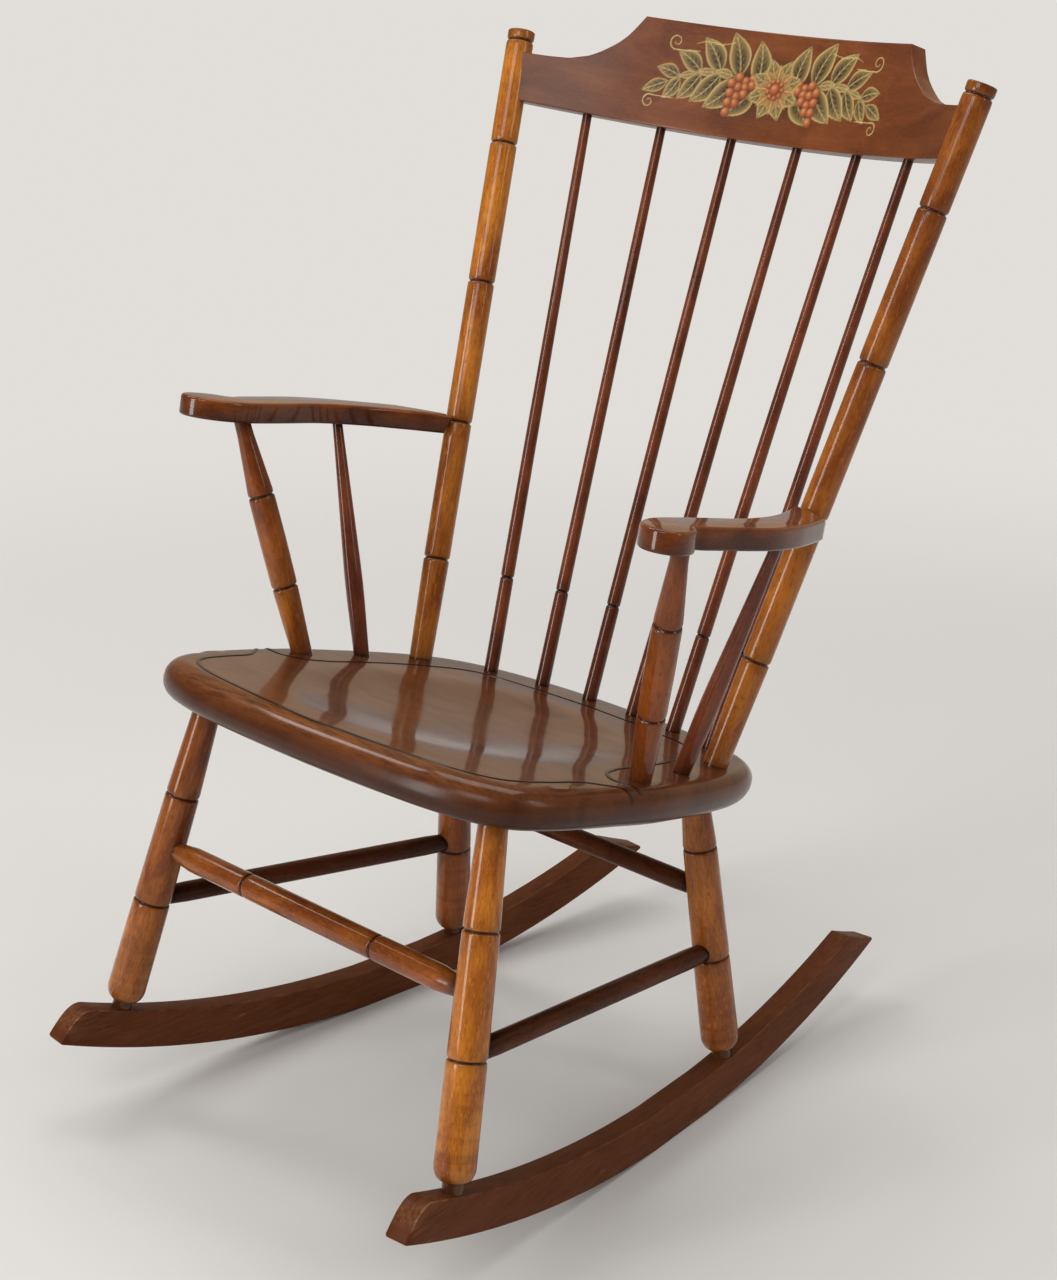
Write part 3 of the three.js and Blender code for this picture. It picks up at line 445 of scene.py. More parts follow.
def stain(piece, shade, grain=None):
    """Stores a piece's place in its own wood and how dark it is, from stain and from painted shade."""
    points = mesh_points(piece) if grain is None else grain
    chance = np.random.default_rng(sum(map(ord, piece.name)))
    set_attribute(piece, "grain", points + chance.uniform(-2, 2, 3), "FLOAT_VECTOR", "vector")
    set_attribute(piece, "shade", np.clip(shade, 0, 1))


def ramp(values, start, end):
    """Goes from 0 at one value to 1 at another."""
    return np.clip((values - start) / (end - start), 0, 1)


def finish_piece(piece, material, replaced):
    piece.data.materials.clear()
    piece.data.materials.append(material)
    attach(piece, "root")
    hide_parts(replaced)


print("helpers ready")

# %% [markdown]
# ## Lathe work
# Twenty of the sticks are turned. A turner cuts a profile while the blank spins. A stack of cylinders
# would give the same outline with hard steps, so Blender's Spin is used as the lathe: one point is
# extruded along the profile, and the line is spun once round the axis. A profile lists distances from
# the stick's lower end and radii, both in millimetres. Grooves are cut into it as soft V shapes,
# because the tool's point is never quite sharp.

# %% Turn a profile into a stick
GROOVE_DEPTH, GROOVE_HALF_WIDTH = 1.7, 1.9
GROOVE_POINTS = (0.15, 0.45, 0.8, 1.2, 1.7, 2.6)  # beside a groove, in half widths
GROOVE_V, GROOVE_SHOULDER, SHOULDER_DEPTH = 0.62, 1.7, 0.3
PROFILE_STEP, LEAST_STEP = 9.0, 0.18


def fine_profile(rough, grooves, depth=GROOVE_DEPTH, half_width=GROOVE_HALF_WIDTH):
    """A profile with points close together near its grooves, and the grooves cut in."""
    rough = np.array(rough, float)
    near = np.array([side * share for side in (-1, 1) for share in GROOVE_POINTS]) * half_width
    start, end = rough[0, 0], rough[-1, 0]
    along = np.concatenate([rough[:, 0], np.arange(start, end, PROFILE_STEP)]
                           + [groove + near for groove in grooves])
    along = np.unique(np.round(along[(along >= start) & (along <= end)], 2))
    along = along[[0] + [i for i in range(1, len(along)) if along[i] - along[i - 1] > LEAST_STEP]]
    radius = np.interp(along, rough[:, 0], rough[:, 1])
    for groove in grooves:
        away = np.abs(along - groove) / half_width
        radius = (radius - depth * np.exp(-((away / GROOVE_V) ** 2))
                  - SHOULDER_DEPTH * np.exp(-((away / GROOVE_SHOULDER) ** 2)))
    return np.stack([along, radius], 1)


def turn_stick(profile, sides):
    """Spins a profile round Z. The stick's lower end is at the origin."""
    start_fresh()
    bpy.ops.mesh.primitive_plane_add(size=MM)
    bpy.ops.object.mode_set(mode="EDIT")
    bpy.ops.mesh.select_all(action="SELECT")
    bpy.ops.mesh.merge(type="CENTER")
    previous = Vector((0, 0, 0))
    for along, radius in [(profile[0][0], 0), *profile, (profile[-1][0], 0)]:
        point = Vector((radius * MM, 0, along * MM))
        if point != previous:
            bpy.ops.mesh.extrude_vertices_move(TRANSFORM_OT_translate={"value": point - previous})
        previous = point
    bpy.ops.mesh.select_all(action="SELECT")
    bpy.ops.mesh.spin(steps=sides, angle=math.tau, center=(0, 0, 0), axis=(0, 0, 1))
    bpy.ops.mesh.select_all(action="SELECT")
    bpy.ops.mesh.remove_doubles(threshold=0.01 * MM)
    faces_out()
    bpy.ops.object.shade_smooth_by_angle(angle=math.radians(50))
    return bpy.context.object


print("lathe ready")

# %% [markdown]
# ## Where a stick goes, and how it is stained and shaded
# A packed stick lies at a slant. Its axis runs between the middles of its two end faces, so those are
# found first, and a copy of the turned model is laid along them. The grooves are black, and darker
# just beside them, and painted shade darkens each stick where it enters another piece and in the neck
# under a leg's foot.

# %% Fit a stick
# how red the stain came out on each turning, at its lower and its upper end
TONES = {"front_leg_left": (0.15, 0.0), "front_leg_right": (0.5, 0.9), "back_leg_left": (0.4, 0.5),
         "back_leg_right": (0.9, 0.9), "back_post_left": (0.5, 0.7), "back_post_right": (0.25, 0.1),
         "front_stretcher": (0.85, 0.8), "arm_post_left": (0.95, 1.0), "arm_post_right": (0.6, 1.0)}
PLAIN_TONES = (0.5, 0.5)
# strength and reach in mm of the black grooves, of the darkening beside them, and of the painted shade
GROOVE_DARK, GROOVE_SHADOW = (1.25, 1.55), (0.34, 9)
END_RING_SHADE, END_SHADOW_REACH = (0.95, 1.3), 16
NECK_SHADE, NECK_BLUR = 0.9, 1.5


def turning_axis(name):
    """The two ends of a packed turning's axis, from the middles of its end faces, lower end first."""
    points = node_points(name)
    middle = points.mean(0)
    along_axis = np.linalg.svd(points - middle, full_matrices=False)[2][0]
    for slack in (1.5 * MM, 0.4 * MM, 0.05 * MM):
        along = (points - middle) @ along_axis
        low = points[along < along.min() + slack].mean(0)
        high = points[along > along.max() - slack].mean(0)
        along_axis = (high - low) / np.linalg.norm(high - low)
    return (low, high) if low[2] <= high[2] else (high, low)


def stick_length(name):
    low, high = turning_axis(name)
    return float(np.linalg.norm(high - low)) / MM


def stick_shade(along, grooves, ends, dark_ends, dark_neck):
    """How dark a stick is along its length: black grooves, and painted shade at its given ends and neck."""
    # painted shade in the neck under a leg's foot
    shade = NECK_SHADE * ramp(along, dark_neck + NECK_BLUR, dark_neck - NECK_BLUR)
    for groove in grooves:
        away = np.abs(along - groove)
        shade = np.maximum(shade, GROOVE_DARK[0] * np.exp(-((away / GROOVE_DARK[1]) ** 2)))
        shade = np.maximum(shade, GROOVE_SHADOW[0] * np.exp(-away / GROOVE_SHADOW[1]))
    # painted shade where the stick enters another piece: a soft fade and a thin dark ring at the joint
    for end in ends:
        away = np.abs(along - end)
        shade = np.maximum(shade, dark_ends * np.exp(-away / END_SHADOW_REACH))
        shade = np.maximum(shade, END_RING_SHADE[0] * np.exp(-((away / END_RING_SHADE[1]) ** 2)))
    return shade


def fit_stick(model, replaced, material, slot, grooves, ends, dark_ends=0.55, ringed=None, dark_neck=0):
    """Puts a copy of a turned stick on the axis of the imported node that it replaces."""
    low, high = turning_axis(replaced)
    piece = duplicate(model, f"shown_{replaced}")
    along = mesh_points(piece)[:, 2]
    stain(piece, stick_shade(along / MM, grooves, ends, dark_ends, dark_neck))
    tones = TONES.get(replaced, PLAIN_TONES)
    set_attribute(piece, "tone", np.interp(along / along.max(), (0.2, 0.8), tones))
    if ringed:
        set_attribute(piece, "ringed", np.interp(along / MM, *zip(*ringed)))
    turn = Vector((0, 0, 1)).rotation_difference(Vector(high - low))
    settle(piece, Matrix.Translation(Vector(low)) @ turn.to_matrix().to_4x4())
    finish_piece(piece, material, replaced)


def turn_set(replaced, profile, grooves, ends, material, slot, sides=36, **looks):
    """Turns one model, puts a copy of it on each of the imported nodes, and removes the model."""
    model = turn_stick(profile, sides)
    for name in replaced:
        fit_stick(model, name, material, slot, grooves, ends, **looks)
    bpy.data.objects.remove(model)
    print("turned", ", ".join(replaced))


def groove_places(shares, length, low_tenon=0, high_tenon=0):
    """Grooves at shares of a stick's shown length."""
    return [low_tenon + share * (length - low_tenon - high_tenon) for share in shares]


# %% [markdown]
# ## Legs
# A leg swells towards the floor, ends in a round foot, and stands on the rocker by a thin neck in shade.
# Two grooves divide it, as the nodes divide a stem of bamboo. The front pair and the back pair differ
# in length alone, so each pair is one turned model and two copies.

# %% Turn the four legs
ROCKER_TENON, SEAT_TENON = 27, 26  # the hidden ends of a leg, in millimetres
LEG_RUN_IN = (4, 6)  # how far the model runs on inside the rocker and the seat
LEG_NECK, LEG_FOOT_START, LEG_FOOT_ROUND, FOOT_STEPS = 9.5, 9, 14, 7
LEG_RADII = {"foot": 18.75, "lower": 18, "upper": 16.5, "top": 13}
LEG_GROOVE_SHARES = {"front": (0.357, 0.702), "back": (0.388, 0.798)}
NECK_EDGE = 1.5

foot_start = ROCKER_TENON + LEG_FOOT_START
for kind, shares in LEG_GROOVE_SHARES.items():
    length = stick_length(f"{kind}_leg_left")
    leg_top = length - SEAT_TENON
    grooves = groove_places(shares, length, ROCKER_TENON, SEAT_TENON)
    foot = []
    for step in range(1, FOOT_STEPS + 1):
        angle = math.pi / 2 * step / FOOT_STEPS
        foot.append((foot_start + LEG_FOOT_ROUND * (1 - math.cos(angle)),
                     LEG_NECK + (LEG_RADII["foot"] - LEG_NECK) * math.sin(angle)))
    rough = [(ROCKER_TENON - LEG_RUN_IN[0], LEG_NECK), (foot_start, LEG_NECK), *foot,
             (grooves[0], LEG_RADII["lower"]), (grooves[1], LEG_RADII["upper"]),
             (leg_top, LEG_RADII["top"]), (leg_top + LEG_RUN_IN[1], LEG_RADII["top"])]
    rings = [(ROCKER_TENON, 0.3), (ROCKER_TENON + 25, 1), (grooves[0] * 0.7, 0.8), (grooves[0], 0.1)]
    # the legs get painted shade in the neck under the foot and at their ends
    turn_set([f"{kind}_leg_{side}" for side in SIDES], fine_profile(rough, grooves), grooves,
             (ROCKER_TENON + 1, leg_top), AMBER, "amber_wood", ringed=rings, dark_neck=foot_start + NECK_EDGE)

# %% [markdown]
# ## Stretchers
# Stretchers keep the legs from spreading. The front one is amber with two grooves. The other three
# are plain and dark reddish brown.

# %% Turn the stretchers
STRETCHER_TENON, STRETCHER_RUN_IN = 12, 4
STRETCHER_NECK = 9.25


def stretcher(name, radius, shares, material, slot):
    length = stick_length(name)
    grooves = groove_places(shares, length)
    taper = STRETCHER_TENON + 2 * radius
    half = [(STRETCHER_TENON - STRETCHER_RUN_IN, STRETCHER_NECK), (STRETCHER_TENON, STRETCHER_NECK),
            (taper, radius)]
    rough = half + [(length - along, radius_there) for along, radius_there in reversed(half)]
    turn_set([name], fine_profile(rough, grooves), grooves, (STRETCHER_TENON, length - STRETCHER_TENON),
             material, slot)


stretcher("front_stretcher", 12, (0.285, 0.715), AMBER, "amber_wood")
for name in ("back_stretcher", "side_stretcher_left", "side_stretcher_right"):
    stretcher(name, 10, (), DARK, "dark_wood")

# %% [markdown]
# ## Back posts
# The two posts carry the crest rail and lean out and back. Five grooves divide each, the last one
# close under its flat top, whose edge is eased.

# %% Turn the back posts
POST_RADII = {"base": 11.8, "middle": 13.5, "top": 14}
POST_GROOVE_SHARES = (0.16, 0.377, 0.6, 0.821, 0.984)
POST_TOP_ROUND, POST_TOP_STEPS = 1.6, 6
POST_RUN_IN, POST_FULL_BELOW_GROOVE = 6, 8

length = stick_length("back_post_left")
grooves = groove_places(POST_GROOVE_SHARES, length, SEAT_TENON)
crown = [(length - POST_TOP_ROUND * (1 - math.sin(a)), POST_RADII["top"] - POST_TOP_ROUND * (1 - math.cos(a)))
         for a in np.linspace(0, math.pi / 2, POST_TOP_STEPS)]
rough = [(SEAT_TENON - POST_RUN_IN, POST_RADII["base"]), (SEAT_TENON, POST_RADII["base"]),
         (grooves[0], POST_RADII["middle"]), (grooves[4] - POST_FULL_BELOW_GROOVE, POST_RADII["top"]), *crown]
# the posts get painted shade where they enter the seat and the crest rail
turn_set([f"back_post_{side}" for side in SIDES], fine_profile(rough, grooves), grooves,
         (SEAT_TENON, length), AMBER, "amber_wood", dark_ends=0.5)

# %% [markdown]
# ## Spindles
# The six back spindles are thin, taper upwards and carry one groove near the seat. Those on the left
# and right are pairs, so three models serve.

# %% Turn the back spindles
SPINDLE_TENON, SPINDLE_TOP_TENON, SPINDLE_RUN_IN = 20, 16, (5, 6)
SPINDLE_RADII = {"base": 7.4, "top": 4.75}
SPINDLE_GROOVE_SHARE, SPINDLE_GROOVE_DEPTH, SPINDLE_GROOVE_HALF_WIDTH = 0.17, 1.0, 1.5

for pair in ((1, 6), (2, 5), (3, 4)):
    length = stick_length(f"back_spindle_{pair[0]}")
    spindle_top = length - SPINDLE_TOP_TENON
    grooves = groove_places([SPINDLE_GROOVE_SHARE], length, SPINDLE_TENON, SPINDLE_TOP_TENON)
    base, top = SPINDLE_RADII["base"], SPINDLE_RADII["top"]
    rough = [(SPINDLE_TENON - SPINDLE_RUN_IN[0], base), (SPINDLE_TENON, base),
             (spindle_top, top), (spindle_top + SPINDLE_RUN_IN[1], top)]
    profile = fine_profile(rough, grooves, SPINDLE_GROOVE_DEPTH, SPINDLE_GROOVE_HALF_WIDTH)
    # the spindles get painted shade at their ends
    turn_set([f"back_spindle_{number}" for number in pair], profile, grooves, (SPINDLE_TENON, spindle_top),
             RED, "red_wood", sides=24, dark_ends=0.6)

# %% [markdown]
# ## Arm posts and arm spindles
# Each arm stands on a fat grooved post at the front and a plain red spindle behind it. The post swells
# a little between its grooves. The spindle swells low down and has no grooves, so its few points are
# blurred once to round the swelling.

# %% Turn the arm supports
ARM_TENON, ARM_RUN_IN = 12, 5
ARM_POST_RADII = {"base": 10.2, "lower": 13, "upper": 13.1, "top": 7.8}
ARM_POST_GROOVE_SHARES = (0.29, 0.68)
ARM_POST_SWELL, ARM_POST_NECK = 0.4, 16
ARM_SPINDLE_RADII = {"base": 7.8, "swell": 9.5, "top": 4.9}
ARM_SPINDLE_SWELL_SHARE = 0.3

length = stick_length("arm_post_left")
post_top = length - ARM_TENON
grooves = groove_places(ARM_POST_GROOVE_SHARES, length, SPINDLE_TENON, ARM_TENON)
rough = [(SPINDLE_TENON - ARM_RUN_IN, ARM_POST_RADII["base"]), (SPINDLE_TENON, ARM_POST_RADII["base"]),
         (grooves[0], ARM_POST_RADII["lower"]),
         (sum(grooves) / 2, ARM_POST_RADII["lower"] + ARM_POST_SWELL),
         (grooves[1], ARM_POST_RADII["upper"]),
         (post_top - ARM_POST_NECK, ARM_POST_RADII["top"] + ARM_POST_SWELL),
         (post_top, ARM_POST_RADII["top"]), (post_top + ARM_RUN_IN, ARM_POST_RADII["top"])]
# the arm posts get painted shade at their ends
turn_set([f"arm_post_{side}" for side in SIDES], fine_profile(rough, grooves), grooves,
         (SPINDLE_TENON, post_top), AMBER, "amber_wood", dark_ends=0.6)

length = stick_length("arm_spindle_left")
post_top = length - ARM_TENON
share_along = np.linspace(0, 1, 14)
swell = np.interp(share_along, [0, ARM_SPINDLE_SWELL_SHARE, 1], list(ARM_SPINDLE_RADII.values()))
swell = np.convolve(np.pad(swell, 1, mode="edge"), [0.25, 0.5, 0.25], mode="valid")
rough = [(SPINDLE_TENON - ARM_RUN_IN, ARM_SPINDLE_RADII["base"]),
         *zip(groove_places(share_along, length, SPINDLE_TENON, ARM_TENON), swell),
         (post_top + ARM_RUN_IN, ARM_SPINDLE_RADII["top"])]
# the arm spindles get painted shade at their ends
turn_set([f"arm_spindle_{side}" for side in SIDES], fine_profile(rough, []), [],
         (SPINDLE_TENON, post_top), RED, "red_wood", sides=28, dark_ends=0.6)

# %% [markdown]
# ## Planks
# The seat and the arms are planks with a sawn outline and rolled edges. A disc is pulled out to the
# outline and extruded down, and a bevel weighted by place rolls its edges. At a corner tighter than
# the rolling a bevel folds over itself, so the mesh is smoothed there.

# %% Make outlines and planks
CURVE_STEPS = 24
UNTANGLED = 0.6  # how far around a fold the mesh is smoothed, in shares of the widest rounding
FOLDED = -0.3  # two faces fold where the cosine between them is lower
SMOOTHINGS = 30


def smooth_loop(points, count, closed=True):
    """Points spaced evenly along a smooth curve through others."""
    points = np.asarray(points, float)
    n = len(points)
    curve = []
    for i in range(n if closed else n - 1):
        picks = (i - 1, i, i + 1, i + 2)
        a, b, c, d = (points[p % n] if closed else points[min(max(p, 0), n - 1)] for p in picks)
        for t in np.linspace(0, 1, CURVE_STEPS, endpoint=False):
            curve.append(0.5 * (2 * b + (c - a) * t + (2 * a - 5 * b + 4 * c - d) * t ** 2
                                + (3 * b - a - 3 * c + d) * t ** 3))
    curve.append(points[0] if closed else points[-1])
    curve = np.array(curve)
    run = np.concatenate([[0], np.cumsum(np.linalg.norm(np.diff(curve, axis=0), axis=1))])
    wanted = np.linspace(0, run[-1], count + (1 if closed else 0))
    spaced = np.stack([np.interp(wanted, run, curve[:, k]) for k in range(curve.shape[1])], 1)
    return spaced[:-1] if closed else spaced


def untangle(piece, reach, levels):
    """Smooths a plank where its rounding folds over itself at a tight corner, and keeps its flats flat."""
    bpy.ops.object.mode_set(mode="EDIT")
    bpy.ops.mesh.select_mode(type="VERT")
    for _ in range(3):
        shape = bmesh.from_edit_mesh(piece.data)
        shape.normal_update()
        folds = [e for e in shape.edges if e.link_faces[0].normal.dot(e.link_faces[-1].normal) < FOLDED]
        spots = np.array([v.co for e in folds for v in e.verts])
        flats = {v.index: z for v in shape.verts for z in levels if abs(v.co.z - z) < 0.01 * MM}
        for vertex in shape.verts:
            vertex.select_set(bool(folds) and np.linalg.norm(spots - vertex.co, axis=1).min() < reach)
        shape.select_flush_mode()
        bmesh.update_edit_mesh(piece.data)
        if not folds:
            break
        bpy.ops.mesh.vertices_smooth(factor=0.5, repeat=SMOOTHINGS)
        shape = bmesh.from_edit_mesh(piece.data)
        shape.verts.ensure_lookup_table()
        for index, z in flats.items():
            shape.verts[index].co.z = z
        bmesh.update_edit_mesh(piece.data)
    bpy.ops.object.mode_set(mode="OBJECT")


def plank(name, outline, thickness, top_round, under_round, steps=8):
    """A plank whose top lies at height zero. The roundings are functions of a point on the outline."""
    start_fresh()
    bpy.ops.mesh.primitive_circle_add(vertices=len(outline), radius=1, fill_type="NGON")
    piece = bpy.context.object
    piece.name = name
    for vertex, (x, y) in zip(piece.data.vertices, outline):
        vertex.co = (x, y, 0)
    bpy.ops.object.mode_set(mode="EDIT")
    bpy.ops.mesh.select_all(action="SELECT")
    bpy.ops.mesh.extrude_region_move(TRANSFORM_OT_translate={"value": (0, 0, -thickness)})
    faces_out()
    widest = max(max(top_round(p), under_round(p)) for p in outline)
    weights = piece.data.attributes.new("bevel_weight_edge", "FLOAT", "EDGE")
    for edge in piece.data.edges:
        a, b = (piece.data.vertices[i].co for i in edge.vertices)
        if abs(a.z - b.z) < thickness / 2:
            rounding = top_round if a.z > -thickness / 2 else under_round
            weights.data[edge.index].value = rounding((a + b) / 2) / widest
    apply_modifier(piece, "BEVEL", width=widest, segments=steps, limit_method="WEIGHT",
                   use_clamp_overlap=False)
    untangle(piece, UNTANGLED * widest, (0, -thickness))
    return piece


print("plank tools ready")

# %% [markdown]
# ## Seat
# The seat is one thick plank: its outline is sawn, its edge is rolled over, most of all at the front,
# and its top is scooped out for the sitter. Sculpting would do for the scoop, but can't be repeated
# exactly, so rings of the top are drawn in towards the middle and then lowered by a formula. The
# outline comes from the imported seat.

# %% Shape the seat
SEAT_TOP_ROUND, SEAT_TOP_ROUND_FRONT = 13, 21
SEAT_UNDER_ROUND, SEAT_UNDER_ROUND_FRONT = 24, 15
DISH_DEPTH, DISH_WIDTH, DISH_LENGTH, DISH_AHEAD = 7, 350, 330, 165
SEAT_RINGS, SEAT_OUTLINE_POINTS = 26, 200
OUTLINE_EASING = 4  # so that the corners stay wider than the roundings


def convex_outline(points):
    """The outline of a set of flat points, anticlockwise."""
    points = sorted(map(tuple, points))
    halves = []
    for run in (points, points[::-1]):
        half = []
        for p in run:
            while len(half) > 1 and ((half[-1][0] - half[-2][0]) * (p[1] - half[-2][1])
                                     - (half[-1][1] - half[-2][1]) * (p[0] - half[-2][0])) <= 1e-9:
                half.pop()
            half.append(p)
        halves += half[:-1]
    return np.array(halves)


seat_points = in_frame(seat_frame.inverted(), node_points("seat"))
seat_bottom = seat_points[:, 2].min()
seat_outline = smooth_loop(convex_outline(seat_points[:, :2]), SEAT_OUTLINE_POINTS)
for _ in range(OUTLINE_EASING):
    seat_outline = (np.roll(seat_outline, 1, 0) + 2 * seat_outline + np.roll(seat_outline, -1, 0)) / 4
front_edge = -seat_outline[:, 1].min()


def rounding(elsewhere, at_front):
    """A rounding that changes towards the seat's front edge."""
    def at(p):
        share = ramp(-p[1], DISH_AHEAD * MM, front_edge)
        return (elsewhere + (at_front - elsewhere) * share ** 2 * (3 - 2 * share)) * MM
    return at


seat = plank("shown_seat", seat_outline, -seat_bottom, rounding(SEAT_TOP_ROUND, SEAT_TOP_ROUND_FRONT),
             rounding(SEAT_UNDER_ROUND, SEAT_UNDER_ROUND_FRONT))
bpy.ops.object.mode_set(mode="EDIT")
bpy.ops.mesh.select_mode(type="FACE")
shape = bmesh.from_edit_mesh(seat.data)
top_face = max(shape.faces, key=lambda f: (round(f.calc_center_median().z, 5), f.calc_area()))
bpy.ops.mesh.select_all(action="DESELECT")
top_face.select_set(True)
shape.faces.active = top_face
bmesh.update_edit_mesh(seat.data)
for ring in range(1, SEAT_RINGS):
    shrink = (SEAT_RINGS - ring) / (SEAT_RINGS - ring + 1)
    bpy.ops.mesh.extrude_region_move(TRANSFORM_OT_translate={"value": (0, 0, 0)})
    bpy.ops.transform.resize(value=(shrink, shrink, 1), center_override=(0, -DISH_AHEAD * MM, 0))
shape = bmesh.from_edit_mesh(seat.data)
for vertex in shape.verts:
    if vertex.co.z > -0.01 * MM:
        across = 2 * vertex.co.x / (DISH_WIDTH * MM)
        along = 2 * (vertex.co.y + DISH_AHEAD * MM) / (DISH_LENGTH * MM)
        share = max(0, 1 - across ** 2 - along ** 2)
        vertex.co.z -= DISH_DEPTH * MM * share ** 2 * (3 - 2 * share)
bmesh.update_edit_mesh(seat.data)
faces_out()
bpy.ops.object.shade_smooth_by_angle(angle=math.radians(40))
print("seat:", len(seat.data.polygons), "faces")

# %% [markdown]
# ## Wear and painted shade on the seat
# Legs rub the front roll pale, and the lacquer is thinner on the rolled edge and missing underneath.
# Painted shade darkens the seat's edge towards its underside. A brush could paint this by hand. Ramps
# over the depth below the seat's top say the same in a line each, and stay right when the seat changes.

# %% Wear the seat
ROLL_WEAR, EDGE_WEAR, EDGE_WEAR_DEPTH, EDGE_WEAR_REACH = 0.55, 0.10, 6, 5
ROLL_BARE, UNDER_BARE = 0.3, 0.9

points = mesh_points(seat)
ahead, down = -points[:, 1] / MM, -points[:, 2] / MM
seat_thick = -seat_bottom / MM
set_attribute(seat, "wear", ROLL_WEAR * ramp(ahead, 300, 360) * ramp(down, 16, 2)
              + EDGE_WEAR * np.exp(-((down - EDGE_WEAR_DEPTH) / EDGE_WEAR_REACH) ** 2))
# painted shade: the seat's edge darkens from 14 to 26 mm below its top, towards the underside
stain(seat, 0.08 + 0.50 * ramp(down, 14, 26), points[:, [1, 2, 0]])
set_attribute(seat, "bare", np.maximum(ROLL_BARE * ramp(down, 4, 12),
                                       np.minimum(ramp(down, seat_thick - 1, seat_thick), UNDER_BARE)))
seat_surface = BVHTree.FromObject(seat, bpy.context.evaluated_depsgraph_get())
print("seat worn")

# %% [markdown]
# ## The painted line on the seat
# A thin black line follows the seat's edge and hooks round the arm posts. It could be a colour in the
# seat's finish, but its edges would need a far finer mesh. Paint has almost no height, so the line is
# a narrow ribbon: a strip of grid, dropped on the seat point by point, and made solid so that most of
# it lies under the lacquer. Only its right half is listed, in millimetres.

# %% Lay the painted line
LINE_WIDTH, LINE_PROUD, LINE_THICK = 3.3, 0.2, 0.5
LINE_POINTS = 300
ABOVE_SEAT = 0.1
HALF_LINES = {
    "front_line": [(252, -199), (241, -205), (229, -219), (219, -235), (214, -270), (206, -302),
                   (190, -322), (155, -337), (100, -346), (45, -352), (0, -356)],
    "back_line": [(250, -187), (225, -191), (212, -187), (199, -175), (193, -158), (190, -145), (184, -90),
                  (178, -60), (168, -29), (155, 0), (135, 17), (96, 26), (45, 32), (0, 34)]}


def painted_line(name, half_line):
    whole = half_line + [(-x, y) for x, y in half_line[-2::-1]]
    course = smooth_loop(np.array(whole) * MM, LINE_POINTS, closed=False)
    ahead = np.gradient(course, axis=0)
    ahead /= np.linalg.norm(ahead, axis=1)[:, None]
    sideways = np.stack([-ahead[:, 1], ahead[:, 0]], 1) * LINE_WIDTH * MM / 2
    start_fresh()
    bpy.ops.mesh.primitive_grid_add(x_subdivisions=2, y_subdivisions=len(course) - 1, size=1)
    ribbon = bpy.context.object
    ribbon.name = name
    for row, (middle, offset) in enumerate(zip(course, sideways)):
        for column in range(3):
            x, y = middle + offset * (column - 1)
            hit = seat_surface.ray_cast(Vector((x, y, ABOVE_SEAT)), Vector((0, 0, -1)))[0]
            proud = LINE_PROUD if column == 1 else LINE_PROUD / 2
            ribbon.data.vertices[row * 3 + column].co = (x, y, hit.z + proud * MM)
    apply_modifier(ribbon, "SOLIDIFY", thickness=LINE_THICK * MM, offset=-1)
    faces_out()
    return ribbon


for name, half_line in HALF_LINES.items():
    ribbon = painted_line(name, half_line)
    settle(ribbon, seat_frame)
    ribbon.data.materials.append(LINE_PAINT)
    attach(ribbon, "root")
settle(seat, seat_frame)
finish_piece(seat, SEAT, "seat")
print("painted lines laid")

# %% [markdown]
# ## Arms
# Each arm is sawn from a board in an S shape and ends in a round hand hold. It is a plank like the
# seat, with a small even rounding, and bare underneath. Painted shade darkens its sides below the top
# edge, and its rear end by the back post is a little darker. The right arm is the left one mirrored.

# %% Shape the arms
arm_mount = mounts["arm_top_left"]
ARM_TOP = 253  # above the seat, square to it, where the arm meets the post
ARM_THICKNESS = 20
ARM_REACH, ARM_SPREAD = 311, 85
ARM_ROUND, ARM_UNDER_ROUND = 3.2, 2.4
ARM_OUTLINE_POINTS = 130
# shares of the spread outwards and of the reach forwards, from the back post's axis
ARM_OUTLINE_SHARES = [
    (-0.127, 0.022), (-0.066, 0.087), (0.129, 0.2), (0.306, 0.321), (0.4, 0.434),
    (0.424, 0.53), (0.37, 0.643), (0.323, 0.755), (0.31, 0.846), (0.387, 0.922),
    (0.553, 0.979), (0.752, 1), (0.929, 0.984), (1, 0.943), (0.967, 0.889),
    (0.885, 0.854), (0.776, 0.827), (0.813, 0.778), (0.859, 0.691), (0.906, 0.595),
    (0.918, 0.501), (0.847, 0.386), (0.718, 0.276), (0.557, 0.16)]


def post_point(side, height):
    """The point of a back post's axis at a height above the seat, square to it, in millimetres."""
    low, high = (np.array(seat_frame.inverted() @ Vector(p)) for p in turning_axis(f"back_post_{side}"))
    return low + (high - low) * (height * MM - low[2]) / (high[2] - low[2])


arm_slope = math.atan2(arm_mount["axis"][1], arm_mount["axis"][2])
arm_origin = seat_frame @ Vector(post_point("left", ARM_TOP))
arm_frame = Matrix.Translation(arm_origin) @ Matrix.Rotation(-arm_slope, 4, "X")
shares = np.array(ARM_OUTLINE_SHARES) * (ARM_SPREAD * MM, -ARM_REACH * MM)
arm_outline = smooth_loop(shares, ARM_OUTLINE_POINTS, closed=False)
arm = plank("shown_arm_left", arm_outline, ARM_THICKNESS * MM, lambda p: ARM_ROUND * MM,
            lambda p: ARM_UNDER_ROUND * MM, steps=6)
bpy.ops.object.shade_smooth_by_angle(angle=math.radians(40))
points = mesh_points(arm)
down = -points[:, 2] / MM
# painted shade: the sides darken from 2 to 9 mm below the top; the rear 50 mm is a little darker
stain(arm, 0.6 * ramp(down, 2, 9) + 0.12 * (points[:, 1] > -50 * MM), points[:, [0, 2, 1]])
set_attribute(arm, "bare", np.minimum(ramp(down, ARM_THICKNESS - 0.5, ARM_THICKNESS), UNDER_BARE))
other_arm = settle_pair(arm, "shown_arm_right", arm_frame)
finish_piece(arm, ARM, "arm_left")
finish_piece(other_arm, ARM, "arm_right")
print("arms shaped")

